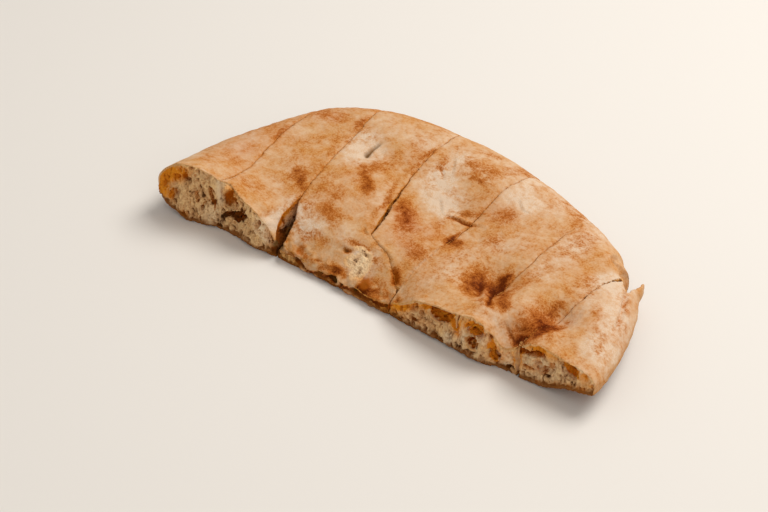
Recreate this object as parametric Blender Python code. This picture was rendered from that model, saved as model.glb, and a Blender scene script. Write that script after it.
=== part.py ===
"""Half of a thick round flatbread, cut into seven slices that still lie together.

Sizes are written in millimetres and turned into metres where a mesh is made. X runs along the
straight cut that halved the bread, left to right as seen from that cut, Y runs from it to the
curved back, and Z is up. The bread was baked thin in the middle with a thick round rim, so the
straight cut is low in its middle and tall at both ends. The origin is on the floor, under the
middle of the finished bread.
"""

import math
from collections import namedtuple

import bmesh
import bpy
import numpy as np

MM = 0.001  # metres in a millimetre

# ---- the loaf in plan -------------------------------------------------------------------------
BREAD_RADIUS = 140.0
MIDDLE = (-8.0, 0.0)  # where the round bread's middle was, on the straight cut
RIM_STEP = 15.0  # degrees between two values of RIM_SHAPE
RIM_SHAPE = (  # reach of the rim from the middle, in radii, from -15 degrees on, +X being 0
    1.007, 1.021, 1.021, 1.026, 0.999, 0.951, 0.932, 0.951,
    0.981, 1.030, 1.057, 0.996, 0.957, 0.935, 0.956, 0.957,
)
OUTLINE_FROM, OUTLINE_TO = -12.0, 196.0  # degrees that the rim is followed over
OUTLINE_POINTS = 1041
END_STOP = 0.6  # the plan stops this far inside the rim's right and left ends
FRONT_LEFT_OUT = 8.0  # the straight cut's left end stands this far forward
FRONT_LEFT = (90.0, 124.0)  # over this stretch, measured to the left
FRONT_RIGHT_IN = 5.0  # and its right end this far back
FRONT_RIGHT = (66.0, 90.0)
FRONT_SWELL = 2.0  # between them slice 2 swells forward
FRONT_SWELL_X, FRONT_SWELL_WIDE = -77.0, 15.0

# ---- the loaf in height -----------------------------------------------------------------------
HEIGHT_MIDDLE = 20.0
HEIGHT_RIM = 28.0
HEIGHT_RISE = (0.10, 0.70)  # share of the reach over which the crust climbs to the rim's height
RIM_BAND = 2.4  # height of the band where the upper and the lower crust meet
RIM_MIDDLE = 12.0  # height of the rim's widest line above the floor
ROLL_OVER = 22.0  # width over which the top crust rounds down to that line
ROLL_UNDER = 18.0  # width over which the bottom crust rounds up to it
ROLL_POWER = 2.2
RIGHT_END, RIGHT_END_BACK = (85.0, 135.0), (50.0, 100.0)  # where the ends' curl comes and goes
LEFT_END, LEFT_END_BACK = (90.0, 130.0), (30.0, 80.0)
LIFT_RIGHT = 2.0  # the rim's widest line is this much higher at the ends
LIFT_LEFT = 3.0
CURL_RIGHT = 22.0  # and the bottom crust rounds up over this much more width there
CURL_LEFT = 12.0
TIP_LIFT = 7.0  # the right end's bottom crust also bends up off the floor, near the straight cut
TIP_X, TIP_Y = (99.0, 125.0), (30.0, 75.0)
TROUGH_DEPTH = 14.5  # the thin middle of the bread, along the straight cut
TROUGH_LEFT = (-76.0, -56.0)
TROUGH_RIGHT = (8.0, 40.0)
TROUGH_Y = -4.0
TROUGH_WIDTH = 15.0

Form = namedtuple("Form", "x y wide deep rise")
FORMS = {  # swells and dents of the top crust
    "left shoulder": Form(-112, -10, 24, 24, 9.5),
    "slice 2 dip": Form(-84, 20, 26, 24, -3.4),
    "slice 3 swell": Form(-45, 45, 26, 24, 4.1),
    "back swell left": Form(-60, 102, 46, 26, 5.0),
    "back swell right": Form(10, 98, 30, 20, 3.8),
    "pale dent": Form(-61, 80, 12, 11, -2.6),
    "slice 4 valley": Form(10, 60, 26, 20, -3.9),
    "slice 5 front": Form(42, 2, 14, 12, -2.2),
    "slice 5 dimple": Form(54, 32, 12, 13, -9.3),
    "slice 6 lip": Form(63, 1, 8, 10, -1.0),
    "slice 6 front": Form(84, 4, 10, 10, -14.0),
    "slice 6 fold": Form(95, 29, 9, 9, -7.8),
    "slice 7 slope": Form(115, 8, 18, 20, -3.8),
    "tail": Form(109, 87, 5, 9, -9.0),
    "torn patch": Form(-13, 12, 13, 8, -2.5),
}
BLISTERS = 120  # small uneven bumps and dips all over the crust
BLISTER_WIDTH = (5.0, 11.0)
BLISTER_RISE = 0.75
BLISTER_SEED = 11

# ---- the cuts ---------------------------------------------------------------------------------
GAP = 0.6  # between two slices that touch
Cut = namedtuple("Cut", "foot lean kick kick_reach bow bow_y bow_reach flare flare_y flare_reach")
CUTS = (  # foot: X at the straight cut; lean: X gained for each mm of Y; kick: X added at the
    # straight cut, over that reach; bow: X it strays by there, over that reach; flare: wider gap
    # there, over that reach
    Cut(-97.0, -0.16, 0.0, 20.0, -2.2, 58.0, 20.0, 1.2, 0.0, 8.0),
    Cut(-56.5, -0.21, -2.8, 22.0, -2.9, 50.0, 40.0, 4.4, 9.0, 9.0),
    Cut(-13.5, -0.16, 0.0, 20.0, -3.2, 75.0, 28.0, 1.6, 45.0, 18.0),
    Cut(15.7, 0.052, 0.0, 20.0, -1.8, 86.0, 28.0, 0.0, 0.0, 8.0),
    Cut(58.0, 0.07, 0.0, 20.0, 1.3, 48.0, 15.0, 1.0, 28.0, 12.0),
    Cut(90.5, 0.19, 0.0, 20.0, -1.6, 60.0, 9.0, 2.0, 0.0, 7.0),
)
CUT_WAVE = 0.15
CUT_WAVE_LENGTH = 23.0
CUT_WAVE_TURN = 1.7  # radians from one cut's wave to the next one's
CUT_STEP = 7.0
CUT_FROM, CUT_TO = -30.0, 160.0
CUT_LOW, CUT_HIGH = -20.0, 70.0  # the cutters reach from below the bread to above it
BEYOND = 200.0  # X that is past either end of the bread
TORN_CUT = 2  # this cut ends in a tear, which turns right and meets the next cut
TEAR_START = 26.0
TEAR = ((-10.0, 23.3), (-2.4, 20.8), (6.5, 14.0), (13.0, 8.2))
TEAR_ACROSS = (0.5, 0.9)
TEAR_END = (15.1, 4.6)
TEAR_FOOT = 1.5  # the slice in front of the tear stops this much before its end
TEAR_TIP = 3.4  # and the slice behind it, this much after
TAIL_CUT = 5  # at this cut's back the rim is torn, and the last slice keeps a pointed tail
TAIL_ANGLE, TAIL_SPREAD = 37.5, 3.5  # degrees from +X
TAIL_REACH = 6.5
TAIL_NOTCH_FROM = 73.0  # from here back the last slice's left side turns into the tail's notch
TAIL_NOTCH = ((105.2, 74.0), (111.0, 67.6), (108.6, 91.0), (108.9, 160.0))
CORNER_FROM, CORNER_TO, CORNER_IN = 75.0, 87.0, 9.0  # its neighbour's torn corner

# ---- hollows that show in the crumb -----------------------------------------------------------
Hollow = namedtuple("Hollow", "slice x z wide high deep")
HOLLOWS = (  # half sizes, on the straight cut's face
    Hollow(1, -124.0, 15.5, 3.2, 3.8, 4.0),
    Hollow(1, -113.0, 19.0, 2.6, 3.6, 3.5),
    Hollow(1, -103.5, 21.0, 2.6, 5.0, 3.0),
    Hollow(2, -86.0, 13.0, 5.4, 2.7, 11.0),
    Hollow(2, -88.5, 22.0, 3.6, 4.2, 4.0),
    Hollow(3, -22.0, 4.6, 4.6, 1.9, 4.0),
    Hollow(5, 46.5, 16.2, 7.0, 3.4, 9.0),
    Hollow(6, 67.5, 17.0, 4.6, 3.8, 8.0),
    Hollow(6, 66.5, 8.2, 3.4, 2.7, 6.0),
    Hollow(6, 78.6, 8.2, 4.2, 4.2, 8.0),
    Hollow(7, 104.5, 12.2, 5.0, 3.2, 5.0),
    Hollow(7, 119.5, 18.0, 4.4, 4.6, 8.0),
)
HOLLOW_DETAIL = 2  # subdivisions of the rounded shape that cuts a hollow
CRUMB_HOLLOWS = 3  # on each side of each cut between slices
CRUMB_DETAIL = 1
CRUMB_HOLLOW_SIZE = (2.0, 4.6)
CRUMB_STRETCH = (1.0, 1.3, 0.8)
CRUMB_SINK = 0.3  # share of its size that a hollow's middle lies inside the cut
CRUMB_Y = (34.0, 108.0)
CRUMB_SKIN = 4.0  # a hollow's edge stays this far from the top and the bottom crust
CRUMB_RIM = 14.0  # its middle stays this far from the rim
CRUMB_SPACE = 1.0  # and its edge this far from the next hollow's
CRUMB_TRIES = 200
CRUMB_SEED = 5

# ---- mesh fineness ----------------------------------------------------------------------------
COLUMNS, ROWS, FACE_ROWS = 60, 24, 6
COLUMN_CROWDING = 0.82  # 0 spreads the columns evenly, 1 crowds them at both ends
ROW_CROWDING = 1.35
SQUARE_EDGE = 0.999  # beyond this share, a place in the square is on its edge
FACE_END = 0.95  # share of the straight cut's half length that has relief
FACE_CRAG = 0.9  # relief of the crumb on the straight cut's face
CRAG_WAVES = 14
CRAG_LENGTH = (5.0, 16.0)
CRAG_SHARE = 3.0  # divides the waves' sum, to bring it to about 1
CRAG_SEED = 3

CRUST_COLOUR = (0.62, 0.36, 0.16)
CRUST_ROUGHNESS = 0.72
SLICE_TINTS = (1.0, 0.97, 1.02, 0.95, 0.92, 0.96, 1.03)  # how light each slice was baked


def smooth(share):
    """Ease from 0 to 1 as share goes from 0 to 1, and stay there."""
    share = np.clip(share, 0.0, 1.0)
    return share * share * (3.0 - 2.0 * share)


def ramp(value, start, stop):
    """Ease from 0 at start to 1 at stop."""
    return smooth((value - start) / (stop - start))


def hump(value, middle, spread):
    """A bell curve that is 1 at its middle."""
    return np.exp(-(((value - middle) / spread) ** 2))


def bell(x, y, form):
    """The share of a form's rise at a place in plan."""
    return hump(x, form.x, form.wide) * hump(y, form.y, form.deep)


def rim_reach(angle):
    """Distance from the middle to the rim, by a smooth curve through RIM_SHAPE, and the tail."""
    degrees = np.degrees(angle)
    place = np.clip((degrees + RIM_STEP) / RIM_STEP, 0.0, len(RIM_SHAPE) - 1.001)
    shape = np.array((RIM_SHAPE[0],) + RIM_SHAPE + (RIM_SHAPE[-1],))
    index = place.astype(int)
    part = place - index
    before, start, stop, after = (shape[index + step] for step in range(4))
    slope = stop - before
    bend = 2.0 * before - 5.0 * start + 4.0 * stop - after
    twist = 3.0 * (start - stop) + after - before
    curve = start + 0.5 * part * (slope + part * (bend + part * twist))
    return BREAD_RADIUS * curve + TAIL_REACH * hump(degrees, TAIL_ANGLE, TAIL_SPREAD)


def rim_distance(x, y):
    """How far inside the rim a place in plan is, and how far the rim is from the middle there."""
    across, along = x - MIDDLE[0], y - MIDDLE[1]
    angle = np.arctan2(along, across)
    angle = np.where(angle < -math.pi / 2, angle + 2 * math.pi, angle)
    reach = rim_reach(angle)
    return reach - np.hypot(across, along), reach


def front_line(x):
    """Y of the straight cut, which the end slices turn a little away from."""
    ends = FRONT_RIGHT_IN * ramp(x, *FRONT_RIGHT) - FRONT_LEFT_OUT * ramp(-x, *FRONT_LEFT)
    return ends - FRONT_SWELL * hump(x, FRONT_SWELL_X, FRONT_SWELL_WIDE)


def end_share(x, y):
    """How much of the right and the left end's curl there is at a place in plan."""
    right = ramp(x, *RIGHT_END) * (1.0 - 0.5 * ramp(y, *RIGHT_END_BACK))
    left = ramp(-x, *LEFT_END) * (1.0 - ramp(y, *LEFT_END_BACK))
    return right, left


def rim_middle(x, y):
    """Height of the rim's widest line."""
    right, left = end_share(x, y)
    return RIM_MIDDLE + LIFT_RIGHT * right + LIFT_LEFT * left


def roll(distance, width):
    """0 on the rim, rounding over to 1 at a width inside it."""
    outside = np.clip(1.0 - distance / width, 0.0, 1.0)
    return np.sqrt(np.maximum(0.0, 1.0 - outside**ROLL_POWER))


def blisters(x, y):
    """The crust's small bumps and dips."""
    rng = np.random.default_rng(BLISTER_SEED)
    total = np.zeros_like(x)
    for _ in range(BLISTERS):
        width = rng.uniform(*BLISTER_WIDTH)
        place = (rng.uniform(-BREAD_RADIUS, BREAD_RADIUS), rng.uniform(0.0, BREAD_RADIUS))
        rise = BLISTER_RISE * rng.uniform(-1.0, 1.0)
        total += rise * bell(x, y, Form(*place, width, width, rise))
    return total


def crown(x, y):
    """Height of the top crust before it rounds down to the rim."""
    distance, reach = rim_distance(x, y)
    height = HEIGHT_MIDDLE + (HEIGHT_RIM - HEIGHT_MIDDLE) * ramp(1.0 - distance / reach, *HEIGHT_RISE)
    trough = ramp(x, *TROUGH_LEFT) * (1.0 - ramp(x, *TROUGH_RIGHT))
    height = height - TROUGH_DEPTH * trough * hump(y, TROUGH_Y, TROUGH_WIDTH)
    for form in FORMS.values():
        height = height + form.rise * bell(x, y, form)
    return height + blisters(x, y)


def top(x, y):
    """Height of the top crust."""
    low = rim_middle(x, y) + RIM_BAND / 2
    return low + (crown(x, y) - low) * roll(rim_distance(x, y)[0], ROLL_OVER)


def underside(x, y):
    """Height of the bottom crust: flat on the floor, curled up round the rim."""
    right, left = end_share(x, y)
    share = roll(rim_distance(x, y)[0], ROLL_UNDER + CURL_RIGHT * right + CURL_LEFT * left)
    lift = TIP_LIFT * ramp(x, *TIP_X) * (1.0 - ramp(y, *TIP_Y))
    return (rim_middle(x, y) - RIM_BAND / 2) * (1.0 - share) + lift * share


def outline():
    """The rim in plan, and the places along it of its right end and its left end."""
    angle = np.radians(np.linspace(OUTLINE_FROM, OUTLINE_TO, OUTLINE_POINTS))
    reach = rim_reach(angle)
    x, y = MIDDLE[0] + reach * np.cos(angle), MIDDLE[1] + reach * np.sin(angle)
    right, left = int(np.argmax(x)), int(np.argmin(x))
    return x, y, right, left


def plan_place(u, v):
    """Turn a place in a square, -1 to 1 both ways, into a place in the loaf's plan."""
    x, y, right, left = outline()
    bend = COLUMN_CROWDING * math.pi / 2
    spread = np.sin(u * bend) / math.sin(bend)
    px = (x[right] + x[left]) / 2 + ((x[right] - x[left]) / 2 - END_STOP) * spread
    back = np.interp(px, x[right : left + 1][::-1], y[right : left + 1][::-1])
    low_right = np.interp(px, x[: right + 1], y[: right + 1], left=-BEYOND)
    low_left = np.interp(px, x[left:], y[left:], right=-BEYOND)
    low = np.maximum(front_line(px), np.where(px > 0, low_right, low_left))
    share = 1.0 - (1.0 - (v + 1.0) / 2) ** ROW_CROWDING
    return px, low + (back - low) * share


def crags(x, height):
    """Uneven relief of torn crumb, from a few seeded waves."""
    rng = np.random.default_rng(CRAG_SEED)
    total = np.zeros_like(x)
    for _ in range(CRAG_WAVES):
        turn = rng.uniform(0, 2 * math.pi)
        length = rng.uniform(*CRAG_LENGTH)
        phase = 2 * math.pi * (x * math.cos(turn) + height * math.sin(turn)) / length
        total += np.sin(phase + rng.uniform(0, 2 * math.pi))
    return total / CRAG_SHARE


def raise_faces(bm, faces, height):
    """Extrude faces straight up, keeping them as the bottom."""
    raised = bmesh.ops.extrude_face_region(bm, geom=faces)["geom"]
    verts = [part for part in raised if isinstance(part, bmesh.types.BMVert)]
    bmesh.ops.translate(bm, vec=(0, 0, height), verts=verts)


def is_front_post(edge):
    """Whether an edge of the raised grid is an upright of its front wall."""
    upright = abs(edge.verts[0].co.z - edge.verts[1].co.z) > 0.5
    return upright and edge.verts[0].co.y < -SQUARE_EDGE


def loaf_mesh():
    """The whole half bread as one closed mesh before it is sliced, and its middle in plan."""
    bm = bmesh.new()
    bmesh.ops.create_grid(bm, x_segments=COLUMNS, y_segments=ROWS, size=1.0)
    raise_faces(bm, bm.faces[:], 1.0)
    posts = [edge for edge in bm.edges if is_front_post(edge)]
    bmesh.ops.subdivide_edges(bm, edges=posts, cuts=FACE_ROWS - 1)
    u, v, share = np.array([vert.co for vert in bm.verts]).T
    x, y = plan_place(u, v)
    low, high = underside(x, y), top(x, y)
    z = low + (high - low) * share
    on_face = (v < -SQUARE_EDGE) & (np.abs(u) < FACE_END)
    fade = np.where(on_face, np.sin(math.pi * np.clip(share, 0, 1)), 0.0)
    y = y + FACE_CRAG * fade * crags(x, z)
    middle = ((x.max() + x.min()) / 2, (y.max() + y.min()) / 2)
    for vert, place in zip(bm.verts, np.stack([x, y, z], axis=1)):
        vert.co = place
    bmesh.ops.triangulate(bm, faces=bm.faces[:])
    bmesh.ops.recalc_face_normals(bm, faces=bm.faces[:])
    place_in_metres(bm, middle)
    mesh = bpy.data.meshes.new("loaf")
    bm.to_mesh(mesh)
    bm.free()
    return mesh, middle


def place_in_metres(bm, middle):
    """Move a mesh in millimetres so that the bread's middle is the origin, and make it metres."""
    bmesh.ops.translate(bm, vec=(-middle[0], -middle[1], 0), verts=bm.verts[:])
    bmesh.ops.scale(bm, vec=(MM, MM, MM), verts=bm.verts[:])


def cut_line(index, y):
    """X of the middle of a cut."""
    cut = CUTS[index]
    strayed = cut.kick * hump(y, 0.0, cut.kick_reach) + cut.bow * hump(y, cut.bow_y, cut.bow_reach)
    return cut.foot + cut.lean * y + strayed


def cut_path(index, side):
    """Plan points of one side of a cut, front to back; side is -1 for its left, 1 for its right."""
    cut = CUTS[index]
    y = np.arange(CUT_FROM, CUT_TO, CUT_STEP)
    if index == TORN_CUT:
        y = y[y >= TEAR_START]
    wave = CUT_WAVE * np.sin(2 * math.pi * y / CUT_WAVE_LENGTH + CUT_WAVE_TURN * index)
    flare = cut.flare * hump(y, cut.flare_y, cut.flare_reach)
    x = cut_line(index, y) + wave + side * (GAP + flare) / 2
    if index == TAIL_CUT and side == -1:
        x = x - CORNER_IN * ramp(y, CORNER_FROM, CORNER_TO)
    return [tuple(place) for place in np.stack([x, y], axis=1)]


def tear_path(side):
    """Plan points of one side of the tear, front to back."""
    half = side * GAP / 2
    return [(x + half * TEAR_ACROSS[0], y + half * TEAR_ACROSS[1]) for x, y in reversed(TEAR)]


def cell_plan(number):
    """The plan outline that one slice is cut to, counted from 1 at the left."""
    left, right = number - 2, number - 1
    left_path = cut_path(left, 1) if left >= 0 else [(-BEYOND, CUT_FROM), (-BEYOND, CUT_TO)]
    if left == TAIL_CUT:
        left_path = [place for place in left_path if place[1] < TAIL_NOTCH_FROM] + list(TAIL_NOTCH)
    right_path = cut_path(right, -1) if right < len(CUTS) else [(BEYOND, CUT_FROM), (BEYOND, CUT_TO)]
    if right == TORN_CUT:
        neck = CUTS[TORN_CUT + 1].foot - GAP
        front = [(neck, CUT_FROM), (neck, TEAR_END[1] - TEAR_FOOT), TEAR_END]
        right_path = front + tear_path(-1) + right_path
    if left == TORN_CUT:
        left_path = tear_path(1) + left_path
        right_path = [place for place in right_path if place[1] > TEAR_END[1] + TEAR_FOOT]
        tip_y = TEAR_END[1] + TEAR_TIP
        right_path.insert(0, (cut_line(right, tip_y) - GAP / 2, tip_y))
    return left_path[::-1] + right_path


def cutter_object(bm, name):
    """Turn a bmesh into a hidden object that only cuts others."""
    mesh = bpy.data.meshes.new(name)
    bm.to_mesh(mesh)
    bm.free()
    thing = bpy.data.objects.new(name, mesh)
    bpy.context.scene.collection.objects.link(thing)
    thing.hide_render = True
    thing.display_type = "WIRE"
    return thing


def cell_cutter(number, middle):
    """A tall prism over one slice's plan, which keeps that slice of the loaf."""
    bm = bmesh.new()
    face = bm.faces.new([bm.verts.new((x, y, CUT_LOW)) for x, y in cell_plan(number)])
    raise_faces(bm, [face], CUT_HIGH - CUT_LOW)
    bmesh.ops.recalc_face_normals(bm, faces=bm.faces[:])
    place_in_metres(bm, middle)
    return cutter_object(bm, f"cut_cell_{number}")


def add_bubble(bm, centre, half_sizes, detail):
    """Add one rounded hollow's shape to a cutter."""
    bubble = bmesh.ops.create_icosphere(bm, subdivisions=detail, radius=1.0)["verts"]
    bmesh.ops.scale(bm, vec=half_sizes, verts=bubble)
    bmesh.ops.translate(bm, vec=centre, verts=bubble)


def find_hollow(rng, index, side):
    """Draw a hollow on one side of a cut: its centre and size, or None where it doesn't fit."""
    size = rng.uniform(*CRUMB_HOLLOW_SIZE)
    y = rng.uniform(*CRUMB_Y)
    x = cut_line(index, y) + side * (GAP / 2 + CRUMB_SINK * size)
    place = np.array([x]), np.array([y])
    skin = CRUMB_SKIN + CRUMB_STRETCH[2] * size
    room = float(top(*place)[0]) - 2 * skin
    z = skin + rng.uniform(0.0, 1.0) * room
    if room <= 0 or rim_distance(*place)[0][0] <= CRUMB_RIM:
        return None
    return (x, y, z), size


def scattered_hollows(number):
    """Seeded hollows on both sides of one slice, clear of each other."""
    rng = np.random.default_rng(CRUMB_SEED + number)
    found = []
    for index, side in ((number - 2, 1), (number - 1, -1)):
        if not 0 <= index < len(CUTS):
            continue
        goal = len(found) + CRUMB_HOLLOWS
        for _ in range(CRUMB_TRIES):
            hollow = find_hollow(rng, index, side)
            if len(found) < goal and hollow and is_clear(hollow, found):
                found.append(hollow)
    return found


def is_clear(hollow, others):
    """Whether a hollow keeps its distance from the others."""
    reach = max(CRUMB_STRETCH)
    return all(
        math.dist(hollow[0], other[0]) > reach * (hollow[1] + other[1]) + CRUMB_SPACE
        for other in others
    )


def hollow_cutter(number, middle):
    """The hollows that show in one slice's crumb, as one cutter."""
    bm = bmesh.new()
    for hollow in HOLLOWS:
        if hollow.slice == number:
            face_y = float(front_line(np.array([hollow.x]))[0])
            sizes = (hollow.wide, hollow.deep, hollow.high)
            add_bubble(bm, (hollow.x, face_y, hollow.z), sizes, HOLLOW_DETAIL)
    for centre, size in scattered_hollows(number):
        add_bubble(bm, centre, [size * stretch for stretch in CRUMB_STRETCH], CRUMB_DETAIL)
    place_in_metres(bm, middle)
    return cutter_object(bm, f"cut_hollows_{number}")


def crust_material(number):
    """The baked crust's plain colour, a little different on each slice."""
    tint = SLICE_TINTS[number - 1]
    material = bpy.data.materials.new(f"baked_crust_{number}")
    material.use_nodes = True
    shader = material.node_tree.nodes["Principled BSDF"]
    shader.inputs["Base Color"].default_value = (*(part * tint for part in CRUST_COLOUR), 1.0)
    shader.inputs["Roughness"].default_value = CRUST_ROUGHNESS
    shader.inputs["Metallic"].default_value = 0.0
    return material


def add_boolean(thing, name, operation, cutter):
    """Cut one object by another with an exact Boolean modifier."""
    modifier = thing.modifiers.new(name, "BOOLEAN")
    modifier.operation = operation
    modifier.object = cutter
    modifier.solver = "EXACT"


def slice_object(number, mesh, middle):
    """One slice: the loaf kept inside its cell, with its hollows taken out."""
    thing = bpy.data.objects.new(f"slice_{number}", mesh.copy())
    thing.data.name = f"slice_{number}"
    thing.data.materials.append(crust_material(number))
    bpy.context.scene.collection.objects.link(thing)
    add_boolean(thing, "cut from the loaf", "INTERSECT", cell_cutter(number, middle))
    add_boolean(thing, "hollows", "DIFFERENCE", hollow_cutter(number, middle))
    return thing


def main():
    """Clear the scene and build the seven slices."""
    for old in list(bpy.data.objects):
        bpy.data.objects.remove(old, do_unlink=True)
    mesh, middle = loaf_mesh()
    for number in range(1, len(CUTS) + 2):
        slice_object(number, mesh, middle)


main()
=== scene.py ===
"""The looks of half a thick round flatbread, cut into seven slices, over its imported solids.

Each slice's solid is copied, made a fine even mesh, and worked over: its crust is smoothed and given
the low swells, folds and wrinkles of a baked crust, and its cut faces the pits and strands of crumb.
How browned, floured or torn each place is goes into attributes of the mesh, which the bread's
materials read. Lengths are written in millimetres and angles in degrees, unless a name says otherwise.
"""

import logging
import math
from dataclasses import dataclass, field
from enum import Enum

import bmesh
import bpy
import numpy as np
from mathutils import Matrix, Vector
from mathutils.bvhtree import BVHTree


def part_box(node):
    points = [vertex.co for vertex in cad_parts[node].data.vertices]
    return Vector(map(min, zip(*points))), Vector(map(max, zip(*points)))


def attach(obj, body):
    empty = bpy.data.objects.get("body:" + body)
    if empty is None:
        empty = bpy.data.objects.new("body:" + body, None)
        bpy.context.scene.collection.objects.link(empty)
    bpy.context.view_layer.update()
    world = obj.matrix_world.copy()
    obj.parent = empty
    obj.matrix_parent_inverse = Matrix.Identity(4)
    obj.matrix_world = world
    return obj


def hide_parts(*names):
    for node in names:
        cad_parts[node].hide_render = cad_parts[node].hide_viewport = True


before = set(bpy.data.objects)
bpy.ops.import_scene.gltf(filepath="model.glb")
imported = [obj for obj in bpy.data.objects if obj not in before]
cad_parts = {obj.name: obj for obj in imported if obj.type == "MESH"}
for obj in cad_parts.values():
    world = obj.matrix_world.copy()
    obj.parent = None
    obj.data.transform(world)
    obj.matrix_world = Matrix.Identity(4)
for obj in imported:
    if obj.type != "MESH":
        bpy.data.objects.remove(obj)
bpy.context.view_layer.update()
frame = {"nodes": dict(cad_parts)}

MM = 0.001  # metres in a millimetre
FRONT_Y = -62.15  # Y of the straight cut
BREAD_MIDDLE = (-6.0, -62.0)  # the round bread's middle in plan
Array = np.ndarray
Socket = bpy.types.NodeSocket
Colour = tuple[float, float, float]  # plain linear red, green and blue
Path = tuple[tuple[float, float], ...]  # points of a line in plan
log = logging.getLogger("flatbread")


class Tint(Enum):
    """What a patch does to the bread; each is an attribute of the mesh that the materials read."""

    TOAST = "toast"  # browning of the crust
    FLOUR = "flour"  # pale floury bloom
    ROSE = "rose"  # brown that leans to rose
    GLOW = "glow"  # painted warm light of crumb lit through from behind and inside holes, partly the moist crumb's own orange
    SHADE = "shade"  # painted shade: the dark of holes, pits, cracks and gaps
    DEPTH = "depth"  # how far below the outer skin
    SOLE = "sole"  # bottom crust, and along the foot of the straight cut's face partly painted contact shadow


T, F, R, G, S, D = Tint.TOAST, Tint.FLOUR, Tint.ROSE, Tint.GLOW, Tint.SHADE, Tint.DEPTH


# ---- small mathematics ----


def ease(value: Array, start: float, stop: float) -> Array:
    """Ease from 0 at start to 1 at stop."""
    share = np.clip((value - start) / (stop - start), 0.0, 1.0)
    return share * share * (3.0 - 2.0 * share)


def fade(value: Array, start: float, stop: float) -> Array:
    """Ease from 1 at start to 0 at stop."""
    return 1.0 - ease(value, start, stop)


def near_front(y: Array, start: float, stop: float) -> Array:
    """Ease from 1 to 0 between two distances behind the straight cut."""
    return fade(y, FRONT_Y + start, FRONT_Y + stop)


def hill(value: Array, middle: float, reach: float) -> Array:
    """A rounded hill, 1 at its middle and about a third of that one reach away."""
    return np.exp(-(((value - middle) / reach) ** 2))


def lattice(cells: Array, seed: int) -> Array:
    """Give each cell of a lattice its own even random number.

    Args:
        cells: whole numbers, one row of three a cell.
        seed: which set of numbers.

    Returns:
        One number from 0 to 1 a row.
    """
    keys = cells.astype(np.int64)
    mixed = keys[..., 0] * 73856093 ^ keys[..., 1] * 19349663 ^ keys[..., 2] * 83492791 ^ seed * 2654435761
    mixed = (mixed ^ (mixed >> 13)) * 1274126177 & 0x7FFFFFFF
    mixed = (mixed ^ (mixed >> 16)) * 668265263 & 0x7FFFFFFF
    return ((mixed ^ (mixed >> 15)) & 0xFFFFFF) / float(0xFFFFFF)


def ripple(points: Array, length: float, seed: int) -> Array:
    """Smooth noise in space.

    Args:
        points: places, one row of three each.
        length: distance over which it changes.
        seed: which noise.

    Returns:
        One value from -1 to 1 a place.
    """
    place = points / length
    base = np.floor(place).astype(np.int64)
    part = place - base
    part = part * part * (3.0 - 2.0 * part)
    total = np.zeros(len(points))
    for corner in range(8):
        step = np.array([corner & 1, corner >> 1 & 1, corner >> 2 & 1])
        weight = np.prod(np.where(step == 1, part, 1.0 - part), axis=1)
        total += weight * lattice(base + step, seed)
    return 2.0 * total - 1.0


def distance_to_path(x: Array, y: Array, path: Path) -> tuple[Array, Array, Array]:
    """Measure from places in plan to a line of straight stretches.

    Args:
        x, y: the places.
        path: the line's points.

    Returns:
        Distance to the line, share of the way along it, and distance across it, which is positive on its left.
    """
    best = np.full(len(x), np.inf)
    along, across = np.zeros(len(x)), np.zeros(len(x))
    lengths = [math.dist(a, b) for a, b in zip(path, path[1:])]
    passed, whole = 0.0, sum(lengths)
    for (ax, ay), (bx, by), length in zip(path, path[1:], lengths):
        ux, uy = (bx - ax) / length, (by - ay) / length
        run = np.clip((x - ax) * ux + (y - ay) * uy, 0.0, length)
        apart = np.hypot(x - ax - ux * run, y - ay - uy * run)
        nearer = apart < best
        best = np.where(nearer, apart, best)
        along = np.where(nearer, (passed + run) / whole, along)
        across = np.where(nearer, ux * (y - ay) - uy * (x - ax), across)
        passed += length
    return best, along, across


def front_line(x: Array) -> Array:
    """Y of the straight cut's face, whose two ends bend a little."""
    return FRONT_Y + 5.0 * ease(x, 68.0, 92.0) - 8.0 * ease(-x, 88.0, 122.0) - 2.0 * hill(x, -75.0, 15.0)


def add_object(name: str, data: bpy.types.ID) -> bpy.types.Object:
    """Make an object and link it to the scene.

    Args:
        name: its name.
        data: its mesh, lamp or camera.

    Returns:
        The object, at the origin.
    """
    thing = bpy.data.objects.new(name, data)
    bpy.context.scene.collection.objects.link(thing)
    return thing


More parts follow.
